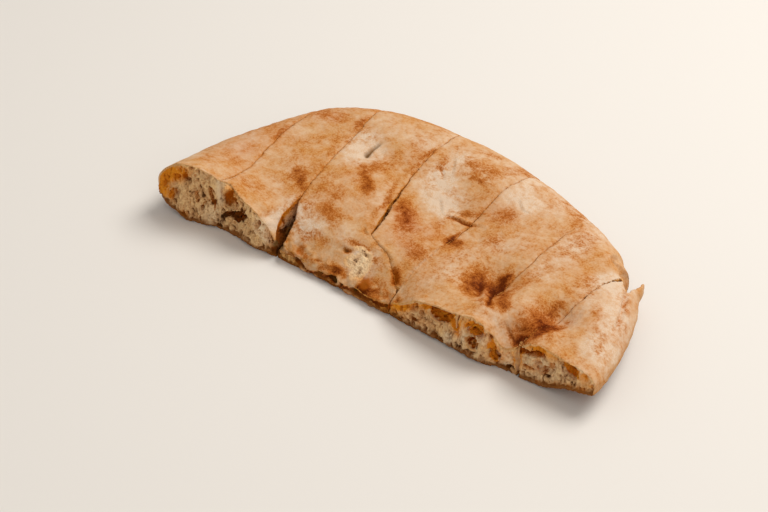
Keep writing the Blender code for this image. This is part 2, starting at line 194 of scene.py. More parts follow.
class Waves(Enum):
    """Mixes of smooth noise, each layer with its height, length and seed."""

    SWELL = ((0.5, 9.0, 11), (0.5, 4.2, 12))  # of the crust
    WRINKLE = ((0.6, 2.2, 13), (0.4, 1.3, 14))
    PATCH_RIM = ((0.6, 6.0, 15), (0.6, 2.4, 16))  # makes the rims of patches uneven
    PATCH_X = ((1.8, 8.0, 21), (1.0, 2.6, 22))  # and shifts them about
    PATCH_Y = ((1.8, 8.0, 23), (1.0, 2.6, 24))
    BROWNING = ((0.05, 26.0, 17), (0.06, 13.0, 19), (0.05, 7.0, 18))
    BLOOM = ((1.0, 17.0, 20), (0.4, 7.0, 29))
    ROSE = ((1.0, 24.0, 66),)
    SCORCH = ((1.5, 5.0, 27),)  # upper edge of the rim's darker foot
    RUGGED = ((0.8, 5.0, 25), (0.7, 2.4, 26))  # of the crust's low front
    RUGGED_TOAST = ((1.0, 3.6, 28),)
    RUGGED_GLOW = ((1.0, 5.5, 30),)
    CUT_FACE = ((0.11, 11.0, 71),)
    STRAY = ((0.45, 7.0, 81), (0.40, 3.2, 82))  # of the cuts
    LOBES = ((1.0, 6.5, 91), (0.5, 2.8, 92))  # of the crust's torn edge
    STRAND = ((1.0, 2.3, 51),)  # of crumb
    THIN_STRAND = ((0.55, 1.2, 53),)
    CRUMB = ((0.9, 6.5, 52),)
    HOLE_RIM = ((1.0, 4.0, 61), (0.5, 1.8, 62))
    FOOT = ((1.0, 4.2, 63), (0.7, 1.4, 64))
    FOOT_RISE = ((1.0, 4.0, 65),)

    def at(self, points: Array) -> Array:
        """The mix's value at places."""
        return sum(height * ripple(points, length, seed) for height, length, seed in self.value)


# ---- what the baker left on the crust ----


@dataclass(frozen=True)
class Oval:
    """An oval on the crust in plan, or on the straight cut's face, where y stands for height."""

    x: float
    y: float
    long: float
    wide: float
    turn: float

    def reach(self, x: Array, y: Array, unevenness: Array) -> Array:
        """Measure how far out places lie.

        Args:
            x, y: the places.
            unevenness: share by which the rim comes in there.

        Returns:
            0 at the oval's middle and 1 on its rim.
        """
        cos, sin = math.cos(math.radians(self.turn)), math.sin(math.radians(self.turn))
        along = ((x - self.x) * cos + (y - self.y) * sin) / self.long
        across = ((y - self.y) * cos - (x - self.x) * sin) / self.wide
        return np.hypot(along, across) * (1.0 + unevenness)


@dataclass(frozen=True)
class Patch(Oval):
    """A soft oval patch of one tint."""

    percent: float
    soft: float = 0.85
    tint: Tint = T

    def colour(self, tints: dict[Tint, Array], x: Array, y: Array, wobble: Array, share: Array) -> None:
        """Add the patch's tint.

        Args:
            tints: what it is added to.
            x, y: the places.
            wobble: values from about -1 to 1 that make its rim uneven.
            share: how much of it each place takes.
        """
        strength = fade(self.reach(x, y, 0.22 * wobble), 1.0 - self.soft, 1.0 + self.soft)
        tints[self.tint] += self.percent / 100.0 * strength * share


def patches(tint: Tint, *rows: tuple[float, ...]) -> tuple[Patch, ...]:
    """Patches of one tint, from rows of x, y, long, wide, turn, percent and perhaps soft."""
    return tuple(Patch(*row, tint=tint) for row in rows)


@dataclass(frozen=True)
class Fold:
    """A line of relief on the crust: a slit, a crease, a wrinkle or a lip."""

    path: Path
    width: float
    rise: float
    lip: float = 0.0
    tint: Tint = T
    amount: float = 0.0

    def press(self, x: Array, y: Array, noise: Array) -> tuple[Array, Array]:
        """Work out the fold at places in plan.

        Args:
            x, y: the places.
            noise: values from -1 to 1 that make it uneven.

        Returns:
            The rise at each place, and how much of its tint shows there.
        """
        apart, along, across = distance_to_path(x, y, self.path)
        taper = np.sqrt(np.clip(np.sin(np.pi * np.clip(along, 0.02, 0.98)), 0.0, 1.0))
        core = hill(apart, 0.0, self.width) * taper * (1.0 + 0.3 * noise)
        side = hill(across, 1.6 * self.width, 1.3 * self.width) * taper * (apart < 5 * self.width)
        return self.rise * core + self.lip * side, self.amount * core


# Besides the crust's own browning, flour and rose, the long narrow toast and rose patches that run beside the cuts
# are painted shade along the cuts' grooves.
CRUST_PATCHES = (
    # slice 1
    *patches(R, (-115, -15, 16, 34, 8, 60, 0.6), (-112, -28, 6, 7, 0, 35)),
    *patches(
        T, (-109, -32, 6, 10, 0, 9), (-118, -53, 6, 4, -40, 12), (-107.5, -3, 2.2, 13, 9, 20),
        (-121, -2, 4, 9, 0, 7),
    ),
    *patches(F, (-117, -21, 3, 9, 6, 35), (-130, -50, 6, 16, 0, 35)),
    # slice 2
    *patches(
        T, (-76.5, 29, 2.2, 6, 5, 36), (-95, 27, 11, 4.5, 5, 13), (-98, 43, 8, 6, 30, 8), (-87, 6, 6, 2.8, -55, 13),
        (-75, -25, 5.5, 3.2, -35, 16), (-70, -30, 6.5, 3.2, -45, 24), (-74, 0, 2.6, 7, 10, 13),
        (-83, -50, 9, 5, 0, 9), (-69, -57, 1.6, 4, 0, 16), (-91, -5, 7, 9, 0, 7), (-80, 13, 4, 5, 0, 8),
        (-62, -56, 5, 8, 0, -18),
    ),
    *patches(R, (-76.5, 29, 4, 7, 5, 40), (-95, 27, 11, 4.5, 5, 55)),
    *patches(
        F, (-84, -20, 10, 6, -20, 20), (-76, -41, 9, 5, -30, 35), (-97, -36, 3, 7, 10, 20),
        (-64, -50, 3.4, 10, 0, 80), (-63, -57, 4.2, 6, 0, 90),
    ),
    # slice 3
    *patches(
        T, (-52, 60, 11, 6, -10, 15), (-70, 26, 6, 3, 30, 10), (-47, -3, 6, 4, -30, 11), (-42, -9, 9, 4.2, -50, 25),
        (-36, -15, 5.5, 3.2, -50, 16), (-50, -11, 5, 4, 0, 13), (-44, 14, 6, 8, 0, 11), (-53, -26, 7.5, 6, -40, 13),
        (-46, -30, 4.5, 9, 35, 12), (-46, -23, 5, 3.2, -40, 10), (-42, -39, 5, 3.2, -20, 12), (-34, -27, 4, 8, 0, 3),
        (-41, -51.5, 6.5, 2.4, 8, 24), (-37, 30, 6, 11, 20, 11), (-30.5, 26, 1.6, 15, 5, 12),
        (-24.5, -14, 1.9, 15, 15, 24), (8, -60.5, 10, 2, 0, 16), (-44, 3, 5, 4, 0, 12), (-58, -16, 4, 5, 0, 10),
    ),
    *patches(R, (-37, 30, 7, 12, 20, 30)),
    *patches(
        F, (-60, 15, 11, 12, 30, 95, 0.6), (-62, 2, 5, 7, 0, 40), (-50, -49, 9, 7, 0, 100),
        (-57, -42, 3, 8, -10, 45), (-50, 37, 13, 7, 0, 35), (-29, -10, 3, 12, 15, 35), (-27, -44, 9, 5, 0, 45),
    ),
    # the torn corner of slice 3
    *patches(
        D, (-14, -46.5, 4, 1.8, 12, 25), (-9, -51, 3.8, 4.3, 20, 38), (-16, -53, 3, 2.2, 0, 28),
        (-9, -56.5, 3.2, 2.6, 0, 28),
    ),
    *patches(
        T, (-16, -60.6, 6, 1.8, -6, 16), (6, -61, 11, 2, 0, 20), (-33, -59.8, 3, 1.6, 5, 16),
        (-19, -59.3, 4.5, 1.8, 10, 22), (-46, -58.5, 4, 1.5, -5, 10), (2, -60, 9, 2.4, 0, 16),
        (-17, -44.8, 8, 1.8, 8, 26), (-3, -48.5, 5, 3, 0, 22), (-1, -56.8, 4, 3.4, 0, 16), (6, -56, 7, 3, 0, 16),
        (-22, -57.5, 7, 2, 0, 12), (11, -49.5, 5.5, 2.4, -38, 36), (-36, -60.5, 18, 1.4, 0, 14),
    ),
    *patches(
        F, (-33, -59.8, 3, 1.6, 5, -60), (-19, -59.3, 4.5, 1.8, 10, -60), (-46, -58.5, 4, 1.5, -5, -40),
        (2, -60, 9, 2.4, 0, -50), (-11, -51.5, 8, 8, 20, 85),
    ),
    # painted shade in the holes of the torn corner
    *patches(
        S, (-10, -52, 4, 4, 0, 6), (-10.8, -47.6, 2.4, 1.2, -20, 75), (-22, -49.5, 2.8, 0.9, 8, 50),
        (-8.8, -54.5, 1.2, 2.3, 10, 70), (-13.2, -51.5, 1.5, 1.8, 0, 60), (-1, -57, 2.2, 1.8, 0, 40),
    ),
    # painted warm light in the torn corner's red-orange hollows
    *patches(G, (-1, -56.8, 2.4, 2.2, 0, 120), (10.5, -50.3, 4, 1.6, -38, 60)),
    # slice 4
    *patches(
        R, (-12, -11, 7, 6, -60, 75), (-7, -18, 8, 5, -52, 75), (8, -33, 9, 5, -10, 55), (-3, -29, 8, 5, -20, 35),
        (14, 50, 8, 6, 0, 30), (5, -14, 10, 8, 0, 40),
    ),
    *patches(
        T, (-12, -11, 6, 5, -60, 22), (-6, -18, 7.5, 4.5, -50, 22), (-17, -6, 3, 3, 0, 12), (11, -33, 7, 5, -10, 22),
        (18.4, -14, 1.6, 6, 0, 44), (23, -15, 3, 4.5, -30, 14), (3, 37, 9, 7, 0, 18), (5, 27, 4.4, 2.2, 0, 24),
        (-5, 52, 6, 4, 0, 19), (14, 50, 7, 5, 0, 15), (19, 61, 8, 6, 0, 22), (13, 7, 4.4, 2.2, 10, 22),
        (-20, 28, 3, 5, 20, 12), (9, -14, 8, 8, 0, 12), (-4, -24, 7, 4, -10, 10),
    ),
    *patches(F, (-9, 12, 15, 9, -38, 100), (-16, 23, 6, 8, 0, 55), (2, 3, 8, 5, -30, 70), (-11, 36, 7, 13, 20, 55)),
    # slice 5
    *patches(
        T, (30, 15, 9, 5, 8, 22), (23.5, -15, 3.6, 5, -30, 18), (42, -6, 7, 4.4, -15, 20),
        (52, -34, 8.5, 8, 25, 16.5, 0.7), (42, -38, 5, 4, 0, 10), (55, -45, 4, 4, 0, 12), (60, -21, 3, 4, 0, 10),
        (49, -37, 4, 5, 25, 10), (51, -25, 12, 9, 0, 16, 0.8), (59, -25, 4.5, 7, -10, 20, 0.8),
        (49, -42, 4, 4, 10, 10), (61, -27, 2.2, 10, 5, 24), (56.5, -38, 3.2, 11, 33, 10), (62, -43, 1.5, 7, 33, 24),
        (48, 14, 9, 7, 0, 9), (54, 3, 5, 7, 0, 8), (62, 40, 2.6, 8, 15, 9),
    ),
    *patches(R, (30, 15, 9, 5, 8, 35), (57, -37, 2.4, 11, 33, 100)),
    *patches(
        F, (32, 29, 8, 9, 0, 75), (33, -38, 7, 14, 0, 40), (44, -5, 9, 7, 0, 30), (45, 32, 8, 8, 0, 30),
        (28, 46, 5, 9, 0, 55),
    ),
    # slice 6
    *patches(
        T, (69.5, -38, 3.4, 9, 33, 36), (66, -43, 1.4, 7, 30, 34), (74, -46, 3, 4, 0, 12), (71, -20, 4, 9, 0, 13),
        (95, -10, 5, 12, 5, 17), (91, -34, 6, 6.5, 10, 15), (95.5, -37, 3, 9, 5, 24), (92, -50, 5, 6, 10, 16),
        (87, -53.5, 6, 2.4, 0, 12), (93, -27, 3, 5, -10, 18), (88, -43, 6, 6, 0, 14), (90, -55, 5, 3.4, 0, 18),
        (92, -56, 3.4, 4.4, 0, 26), (93, 22, 4, 7, 25, 10),
    ),
    *patches(R, (68, -34, 4, 9, 25, 50), (71, -20, 4, 10, 0, 40), (74, 25, 8, 15, 0, 35), (89, -48, 7, 9, 0, 35)),
    *patches(
        F, (76, 22, 8, 16, 0, 45), (78, -8, 7, 12, 10, 40), (74, 14, 7, 10, 0, 35), (74, -53, 8, 5, 0, 55),
        (81, -36, 5, 6, 0, 30), (103, 5, 5.5, 13, -15, 95),
    ),
    # slice 7
    *patches(R, (99, -41, 3.6, 11, -12, 60), (108, -33, 6, 6, 0, 35)),
    *patches(
        T, (101, -40, 3, 8, -12, 40), (98, -51, 3, 5, -8, 14), (103, -50, 4, 5, 0, 13), (112, -20, 3, 5, 20, 18),
        (103, -15, 4, 9, 0, 14), (124, -38, 7, 4, -20, 10), (110, -45, 6, 4, 0, 8), (118, -56, 10, 2.2, 0, 6),
        (117, 1, 1.6, 9, 32, 10),
    ),
    *patches(
        F, (126, -32, 9, 24, 12, 80, 0.6), (110, 2, 6, 9, 0, 80), (106, -19, 5, 9, 0, 45), (118, -12, 6, 10, 20, 45),
    ),
    # the rim
    *patches(F, (45, 52, 30, 7, -18, 40), (-75, 62, 25, 6, 15, 30), (20, 44, 55, 22, -8, 22), (34, -22, 6, 7, 0, 40)),
    *patches(R, (-90, 52, 25, 10, 35, 35)),
)

# A fold's dark tint in the slit, the cracks, the tail's groove and the wrinkles is painted shade.
CRUST_FOLDS = (
    # the slit in the pale dent, and wrinkles about it
    Fold(((-57.5, 23), (-58.3, 17), (-57.8, 12), (-56, 9.5)), 1.3, -1.9, 0.45, S, 0.85),
    Fold(((-57.8, 14.5), (-57.4, 11.5), (-56.2, 9)), 1.7, -1, 0, S, 0.35),
    Fold(((-50, 20), (-47, 12), (-49, 4)), 2, 0.35),
    # the golden crease that crosses the cut between slices 4 and 5, with its raised lip
    Fold(((5, 0.3), (12, 1.4), (18, 1), (25, 2.4)), 0.9, -0.9, 0.8, T, 0.36),
    # wrinkles of the pale crust
    Fold(((-17, 37), (-13, 31), (-9, 24)), 0.7, -0.45, 0.2, S, 0.18),
    Fold(((-20, 26), (-15, 23), (-11, 19)), 0.7, -0.4, 0.2, T, 0.12),
    Fold(((-24, 48), (-20, 43), (-18, 38)), 0.6, -0.35, 0.15, T, 0.1),
    Fold(((-5, 8), (-1, 4), (3, 0)), 0.7, -0.4, 0.2, S, 0.16),
    Fold(((31, 29), (34, 26), (38, 22)), 0.7, -0.45, 0.2, S, 0.16),
    Fold(((36, 25), (39, 23), (42, 24)), 0.6, -0.35, 0.2, S, 0.12),
    # the mauve ridge of slices 5 and 6 and the crack beside it
    Fold(((50, -24), (57, -36), (63, -46), (66, -51)), 1.5, 1.2, 0, T, -0.16),
    Fold(((49, -27), (53, -34), (57, -42)), 1, -0.6, 0, T, 0.12),
    Fold(((57, -28), (62, -38), (67.5, -49)), 0.9, -1.1, 0, T, 0.3),
    # slice 6's wrinkled front
    Fold(((80, -51), (85, -53), (90, -55)), 0.8, -0.5, 0.3, T, 0.12),
    Fold(((84, -49), (88, -50), (91, -49)), 0.7, -0.4, 0.2, T, 0.1),
    # the groove that parts the tail from its slice
    Fold(((111.5, 11), (113, 6), (117, -3), (122, -14), (126, -26)), 1.2, -1.5, 0.9, T, 0.08),
    # the tear's faint crack over slice 3, and the torn crust above the hole
    Fold(((-22, -34), (-19.5, -37), (-16, -37.5)), 0.8, -0.6, 0.3, T, 0.25),
    Fold(((-14, -38), (-5, -40.5), (2, -43), (8, -48)), 1, -0.5, 0.4, T, 0.1),
    Fold(((6.5, -46.5), (11, -50), (14.5, -54)), 1.6, -0.9, 0.4, T, 0.16),
    # the edge of slice 5, which stands a little over slice 4
    Fold(((19.6, -20), (18.8, -35), (18, -55)), 0.8, 0.45, -0.4, F, 0.35),
    Fold(((-24, -49), (-21, -49.5), (-18, -48)), 1, -1, 0.3, T, 0.45),
    Fold(((-12, -47), (-9.5, -46.5), (-8, -48)), 0.7, -0.8, 0.2, T, 0.4),
)

# on the straight cut's face
FACE_PATCHES = (
    # painted warm light: crumb lit through from behind, as at slice 1's upper left, and the warm insides of holes;
    # partly the moist crumb's own orange
    *patches(
        G, (-132, 18, 11, 4.6, 62, 115), (-123, 29, 10, 4.6, 30, 115), (-119, 3, 3.4, 3, 0, 60),
        (-129, 11, 4, 5, 0, 35), (-89, 27, 6, 5, 12, 55), (-57, 22, 5, 14, -14, 45), (-33, 11.5, 2.6, 1.8, 5, 75),
        (-43, 11, 3, 1.4, -15, 35), (-19, 11, 4, 2.2, 20, 70), (5, 9, 12, 3.4, 4, 35), (21, 9.5, 8, 3, 15, 100),
        (30, 13, 7, 2.2, 24, 70), (47, 20, 14, 4.4, 4, 100), (59, 16, 3.4, 5, 0, 75), (30, 6, 14, 2.6, 8, 35),
        (70, 20, 6.5, 4, 5, 70), (80, 10, 5.5, 6.5, 20, 50), (87, 17, 5, 4, -20, 60), (93, 15, 2.6, 6, 0, 80),
        (107, 23.6, 16, 2.8, 9, 95), (128, 20, 7, 3.4, -32, 70), (100, 9, 7, 2, 10, 40), (117, 7, 10, 2, 24, 40),
    ),
    # painted shade in the face's creases, gaps, hollows and foot, with a few broad patches that darken whole
    # stretches of crumb and negative ones that lighten holes
    *patches(
        S, (-91, 22, 3.5, 6, 12, 30), (-93, 10.5, 6, 2.5, 30, 22), (-100.5, 20, 1.8, 5, 8, 25),
        (-97.5, 0.5, 1.8, 2.2, 0, 100), (-113, 13, 16, 14, 0, 13), (42, 9, 16, 6, 0, 8), (-118.5, 2, 2, 3, 0, 60),
        (-74, 2.5, 9, 1.4, 4, 40), (-124.5, 10, 1.4, 4, -10, 30), (-95.5, 6, 1.6, 6, -20, 45),
        (-94, 20, 1.5, 9, 5, 30), (-58, 16, 4, 4, 0, 60), (-58, 4, 2, 3, -20, 70), (-2, 5, 8, 2, 0, 15),
        (-18, 0.5, 40, 2.4, 0, 16, 0.5), (-28, 2, 3.5, 1.5, 0, 40), (0, 2, 6, 1.5, 0, 30),
        (89.5, 1.8, 2.8, 3, 0, 110), (100, 19.5, 8, 1.2, 17, 35), (70, 19.4, 5.4, 3.8, 6, -22),
        (80, 10, 2.8, 5.6, 25, -12), (123, 21.2, 5.6, 2.6, -28, -20), (118, 9, 12, 1.4, 22, 45),
    ),
    *patches(
        F, (-96, 26, 2.6, 9, 0, 65), (-101, 9, 5, 5, 0, 35), (-64, 19, 4.5, 11, 0, 100), (-46, 8, 10, 3, 0, 30),
        (-27, 9, 5, 2, 0, 30), (54.5, 6, 2.6, 3, -30, 60), (86.5, 8, 3.2, 4.6, 0, 90), (75, 10, 17, 9, 0, 16),
        (108, 14, 14, 7, 0, 18), (62.5, 13, 2.6, 5, 0, 55), (75, 17, 1.8, 4, 10, 60), (72.5, 14.3, 3, 1.2, 0, 50),
    ),
    *patches(D, (-18, 8, 38, 6, 0, -90, 0.35)),
    *patches(
        T, (-18, 7, 36, 5, 0, 3, 0.6), (-17, 6.5, 5.5, 1.8, 0, 40), (-28, 6.5, 3, 1.2, 0, 24),
        (-40, 5.5, 4, 1.5, 10, 12), (-50, 5, 5, 1.5, -10, 18), (6, 8, 13, 5, 0, 12), (11, 6, 6, 3.4, 0, 25),
        # this band and the rose one below darken the foot of slice 3's face: bottom crust, partly painted contact
        # shadow
        (-18, 1.5, 40, 3.6, 0, 44, 0.5),
    ),
    *patches(R, (-18, 2.5, 40, 3, 0, 80, 0.5)),
)


@dataclass(frozen=True)
class Hollow(Oval):
    """A hole in the crumb of the straight cut's face."""

    deep: float
    # how much painted warm light the hole's inside takes in place of its painted shade
    glow: float = 0.0

    def sink(self, x: Array, z: Array, wobble: Array) -> Array:
        """How far the hole goes in at places on the face."""
        return self.deep * np.sqrt(np.clip(1.0 - self.reach(x, z, 0.18 * wobble) ** 2, 0.0, 1.0))


FACE_HOLLOWS = tuple(
    Hollow(*row)
    for row in (
        # slice 1: small ovals under the crust, and creases
        (-121.5, 27.5, 2.8, 1.7, 20, 2.2, 0.6), (-127.5, 23.5, 2, 1.2, 50, 1.6, 0.6),
        (-131.5, 18, 2.2, 1.2, 65, 1.6, 0.6), (-116, 30, 1.8, 1.2, 10, 1.6, 0.5),
        (-125.5, 14, 1.5, 5, -15, 1.8, 0.6), (-109.5, 18, 1.4, 4.5, 5, 1.6, 0.4),
        (-101, 21.5, 2, 5.5, 12, 2.6, 0.45), (-118.5, 3, 2.6, 2, 0, 1.4, 0.3), (-97.5, 0.8, 1.7, 2.2, 0, 3.5),
        # slice 2: the wide dark slot and the hollow above it
        (-84, 14.8, 7.2, 3.2, 20, 6, 0.22), (-92, 12, 5, 1.6, 30, 2.6), (-90.5, 23, 3, 6.5, -14, 3, 0.45),
        (-80, 20.5, 2.6, 1.5, 20, 1.8, 0.2), (-69, 17, 1.4, 3.2, -15, 1.8, 0.2), (-72, 11, 1.3, 1.1, 0, 1.6),
        (-76, 4.5, 2.4, 1.2, 0, 1.6), (-84, 3, 3.2, 1.2, 5, 1.6),
        # slice 3
        (-33, 9, 3.6, 1.2, 8, 1.6, 0.7), (-28, 5.5, 2.8, 1.2, 0, 1.8), (-16, 5.5, 4.4, 1.6, 0, 2.2),
        (-46, 4.5, 3, 1.2, 0, 1.5), (-39, 5, 1.6, 1.2, 0, 1.4), (-5, 5, 2.6, 1.2, 10, 1.6, 0.6),
        # slice 5: the cavity under its crust
        (49, 19, 11.5, 3.8, 4, 3.6, 1), (58.5, 16.5, 2.6, 4, 8, 2.4, 1), (34, 7, 2.6, 1.5, 0, 1.8),
        (45, 3.6, 2.8, 1.3, 0, 1.5), (38, 12.5, 2.2, 1.3, 25, 1.6, 0.2), (26, 4, 2, 1, 0, 1.2, 0.3),
        # slice 6: its open holes
        (69.5, 19.4, 5.4, 3.8, 6, 2, 1.2), (68.5, 10.5, 4.2, 3.2, -10, 3.8, 0.65), (80, 10, 2.8, 5.6, 25, 2.8, 1),
        (68, 4, 2.4, 1.5, 0, 1.6), (61, 4, 2, 1.4, 0, 1.5),
        # slice 7
        (99.5, 18.2, 8.4, 2.2, 16, 4, 0.65), (112, 17, 1.8, 2.4, 0, 2.2, 0.6), (123, 21.2, 5.6, 2.6, -28, 1.8, 1.15),
        (100, 9.3, 5, 1.2, 8, 1.6, 0.3), (89.5, 1.8, 2.8, 3.4, 0, 5), (109, 9.5, 3.4, 1.1, -5, 1.3),
        (118, 12.5, 3.4, 1.2, -20, 1.3),
    )
)

# directions that light comes from, for finding the insides of holes in the face
HOLE_RAYS = tuple(
    Vector(way).normalized()
    for way in ((0, -1, 0), (0, -8, 6), (6, -7, 4), (-6, -7, 4), (8, -6, 0), (-8, -6, 0), (0, -4, 9))
)


@dataclass(frozen=True)
class Pores:
    """One size of rounded pits in the crumb, one to a cell of a jittered lattice."""

    deep: float
    size: float
    kept: float  # share of the cells that hold a pit
    seed: int
    squash: float = 1.0

    def at(self, points: Array) -> Array:
        """Work out the pits.

        Args:
            points: places, one row of three each.

        Returns:
            How deep a pit is at each place, up to about half of deep.
        """
        place = points * np.array([1.0, 1.0, self.squash]) / self.size
        base = np.floor(place).astype(np.int64)
        deepest = np.zeros(len(points))
        for shift in np.ndindex(3, 3, 3):
            cell = base + np.array(shift) - 1
            middle = cell + np.stack([lattice(cell, self.seed + axis) for axis in (1, 2, 3)], axis=1)
            radius = 0.28 + 0.27 * lattice(cell, self.seed + 4)
            radius = np.where(lattice(cell, self.seed + 5) < self.kept, radius, 0.0)
            share = np.linalg.norm(place - middle, axis=1) / np.maximum(radius, 0.01)
            deepest = np.maximum(deepest, radius * np.sqrt(np.clip(1.0 - share**2, 0, 1)))
        return self.deep * deepest


PORES = (Pores(1.5, 1.6, 0.6, 34), Pores(2.3, 3.0, 0.42, 41, 0.8), Pores(2.8, 5.6, 0.30, 48))


@dataclass(frozen=True)
class Spring:
    """Where the two sides of a wide cut spring back towards each other, low down or all the way up."""

    x: float
    y: float
    reach: float
    amount: float
    top: float

    def share(self, x: Array, y: Array, z: Array) -> Array:
        """How far each side springs at places near the cut."""
        near = hill(y, self.y, self.reach) * (np.abs(x - self.x) < 8.0)
        return self.amount * near * fade(z, 0.3 * self.top, self.top)


SPRINGS = (Spring(-95, -64, 8, 0.50, 99), Spring(-58, -53, 9, 2.3, 11), Spring(94, -60, 7, 0.85, 60))


@dataclass(frozen=True)
class Nudge:
    """A shift along the straight cut of one slice's edge, beside the open slit."""

    number: int
    shift: float
    x: float
    reach: float
    back: tuple[float, float]  # Y over which it fades
    foot: tuple[float, float]  # height over which it grows

    def move(self, points: Array) -> None:
        """Shift the slice's points."""
        x, y, z = points.T
        points[:, 0] += self.shift * hill(x, self.x, self.reach) * fade(y, *self.back) * ease(z, *self.foot)


NUDGES = (Nudge(2, -3.2, -54.0, 7.0, (-44, -30), (10, 17)), Nudge(3, 3.0, -55.0, 6.5, (-50, -36), (3.5, 9)))


@dataclass(frozen=True)
class Seam:
    """A stretch of a cut that hardly shows, because its two sides lie shut."""

    path: Path
    reach: float = 5.0

    def share(self, x: Array, y: Array) -> Array:
        """How shut the cut is at places near it."""
        apart, along, _ = distance_to_path(x, y, self.path)
        return ease(along, 0.0, 0.12) * fade(along, 0.88, 1.0) * fade(apart, 0.6 * self.reach, self.reach)


SEAMS = (
    Seam(((-18, -36), (-8, -39), (0, -41), (7, -47), (14, -54))),
    Seam(((20, -17), (19, -35), (18.2, -50), (18, -66))),
    Seam(((62.3, -36), (61, -48), (60.4, -68))),
    Seam(((64, 17), (65, 32), (66, 44), (67, 64))),
    Seam(((-106, -36), (-110, -10), (-112, 6))),
)


# ---- the fine mesh of one slice ----


class OuterSkin:
    """The crust of the uncut bread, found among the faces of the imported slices."""

    def __init__(self, nodes: dict[str, bpy.types.Object]) -> None:
        """Gather the slices' faces and keep those that were the whole bread's outside.

        Args:
            nodes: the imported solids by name.
        """
        places: list[Vector] = []
        faces: list[list[int]] = []
        for name in sorted(nodes):
            mesh = nodes[name].data
            first = len(places)
            places += [vert.co / MM for vert in mesh.vertices]
            faces += [[first + index for index in poly.vertices] for poly in mesh.polygons]
        self.whole = BVHTree.FromPolygons(places, faces)
        kept = [face for face in faces if self.is_outside([places[index] for index in face])]
        self.tree = BVHTree.FromPolygons(places, kept)
        lower = [face for face in kept if self.direction([places[index] for index in face]).z < -0.3]
        self.sole = BVHTree.FromPolygons(places, lower)

    @staticmethod
    def direction(corners: list[Vector]) -> Vector:
        """Which way a face with these first corners points, or nothing where it has no size."""
        return (corners[1] - corners[0]).cross(corners[2] - corners[0]).normalized()

    def is_outside(self, corners: list[Vector]) -> bool:
        """Whether a face is part of the crust and not of a cut.

        Args:
            corners: its corner points.

        Returns:
            True where nothing of the bread lies over it or under it.
        """
        normal = self.direction(corners)
        if normal.length < 0.5:
            return False
        middle = sum(corners, Vector()) / len(corners)
        if normal.y < -0.75 and middle.y < FRONT_Y + 6 and middle.z > 1.5:
            return False
        if normal.z < -0.2 and middle.y < FRONT_Y + 14 and middle.z > (4 if abs(middle.x) < 102 else 14):
            return False
        if abs(normal.z) > 0.2:
            way = Vector((0, 0, math.copysign(1.0, normal.z)))
            return self.whole.ray_cast(middle + normal * 0.05, way)[0] is None
        outward = Vector((middle.x - BREAD_MIDDLE[0], middle.y - BREAD_MIDDLE[1], 0)).normalized()
        return outward.dot(normal) > 0.6 and self.whole.ray_cast(middle + normal * 0.05, normal)[0] is None

    def measure(self, points: Array) -> tuple[Array, Array]:
        """Find the nearest crust to each point.

        Args:
            points: places, one row of three each.

        Returns:
            The distance to it and the crust's outward direction there.
        """
        apart, normals = np.empty(len(points)), np.empty((len(points), 3))
        for index, point in enumerate(points.tolist()):
            _, normals[index], _, apart[index] = self.tree.find_nearest(point)
        return apart, normals

    def above_sole(self, points: Array) -> Array:
        """How far each point is from the bottom crust."""
        return np.array([self.sole.find_nearest(point)[3] for point in points.tolist()])


@dataclass
class FineMesh:
    """One slice as an even mesh whose points can be moved together."""

    mesh: bpy.types.Mesh
    points: Array = field(init=False)
    edges: Array = field(init=False)

    def __post_init__(self) -> None:
        """Read the points and edges."""
        self.points = np.empty(len(self.mesh.vertices) * 3)
        self.mesh.vertices.foreach_get("co", self.points)
        self.points = self.points.reshape(-1, 3) / MM
        self.edges = np.empty(len(self.mesh.edges) * 2, dtype=np.int64)
        self.mesh.edges.foreach_get("vertices", self.edges)
        self.edges = self.edges.reshape(-1, 2)

    def write(self) -> None:
        """Put the moved points back into the mesh."""
        self.mesh.vertices.foreach_set("co", (self.points * MM).ravel())
        self.mesh.update()

    def normals(self) -> Array:
        """Outward directions at the points as they are now."""
        self.write()
        found = np.empty(len(self.points) * 3)
        self.mesh.vertices.foreach_get("normal", found)
        return found.reshape(-1, 3)

    def average(self, values: Array, weight: Array | None = None) -> Array:
        """Average each point's neighbours.

        Args:
            values: one row a point.
            weight: how much each point counts as a neighbour, 1 where none is given.

        Returns:
            The neighbours' mean, or the point's own value where none counts.
        """
        a, b = self.edges.T
        count = len(self.points)
        weight = np.ones(count) if weight is None else weight
        total = np.bincount(a, weight[b], count) + np.bincount(b, weight[a], count)
        sums = [
            np.bincount(a, weight[b] * column[b], count) + np.bincount(b, weight[a] * column[a], count)
            for column in values.reshape(count, -1).T
        ]
        mean = np.stack(sums, axis=1) / np.maximum(total, 1e-9)[:, None]
        kept = np.where((total > 1e-9)[:, None], mean, values.reshape(count, -1))
        return kept.reshape(values.shape)

    def bleed(self, values: Array, passes: int) -> Array:
        """Let high values reach out over their neighbours, fading as they go.

        Args:
            values: one a point.
            passes: how many edges they go on for.

        Returns:
            The spread values.
        """
        for _ in range(passes):
            values = np.maximum(values * 0.9, self.average(values))
        return values

    def paint(self, name: str, values: Array) -> None:
        """Store one value a point as an attribute of the mesh."""
        layer = self.mesh.attributes.new(name, "FLOAT", "POINT")
        layer.data.foreach_set("value", values.astype(np.float32))


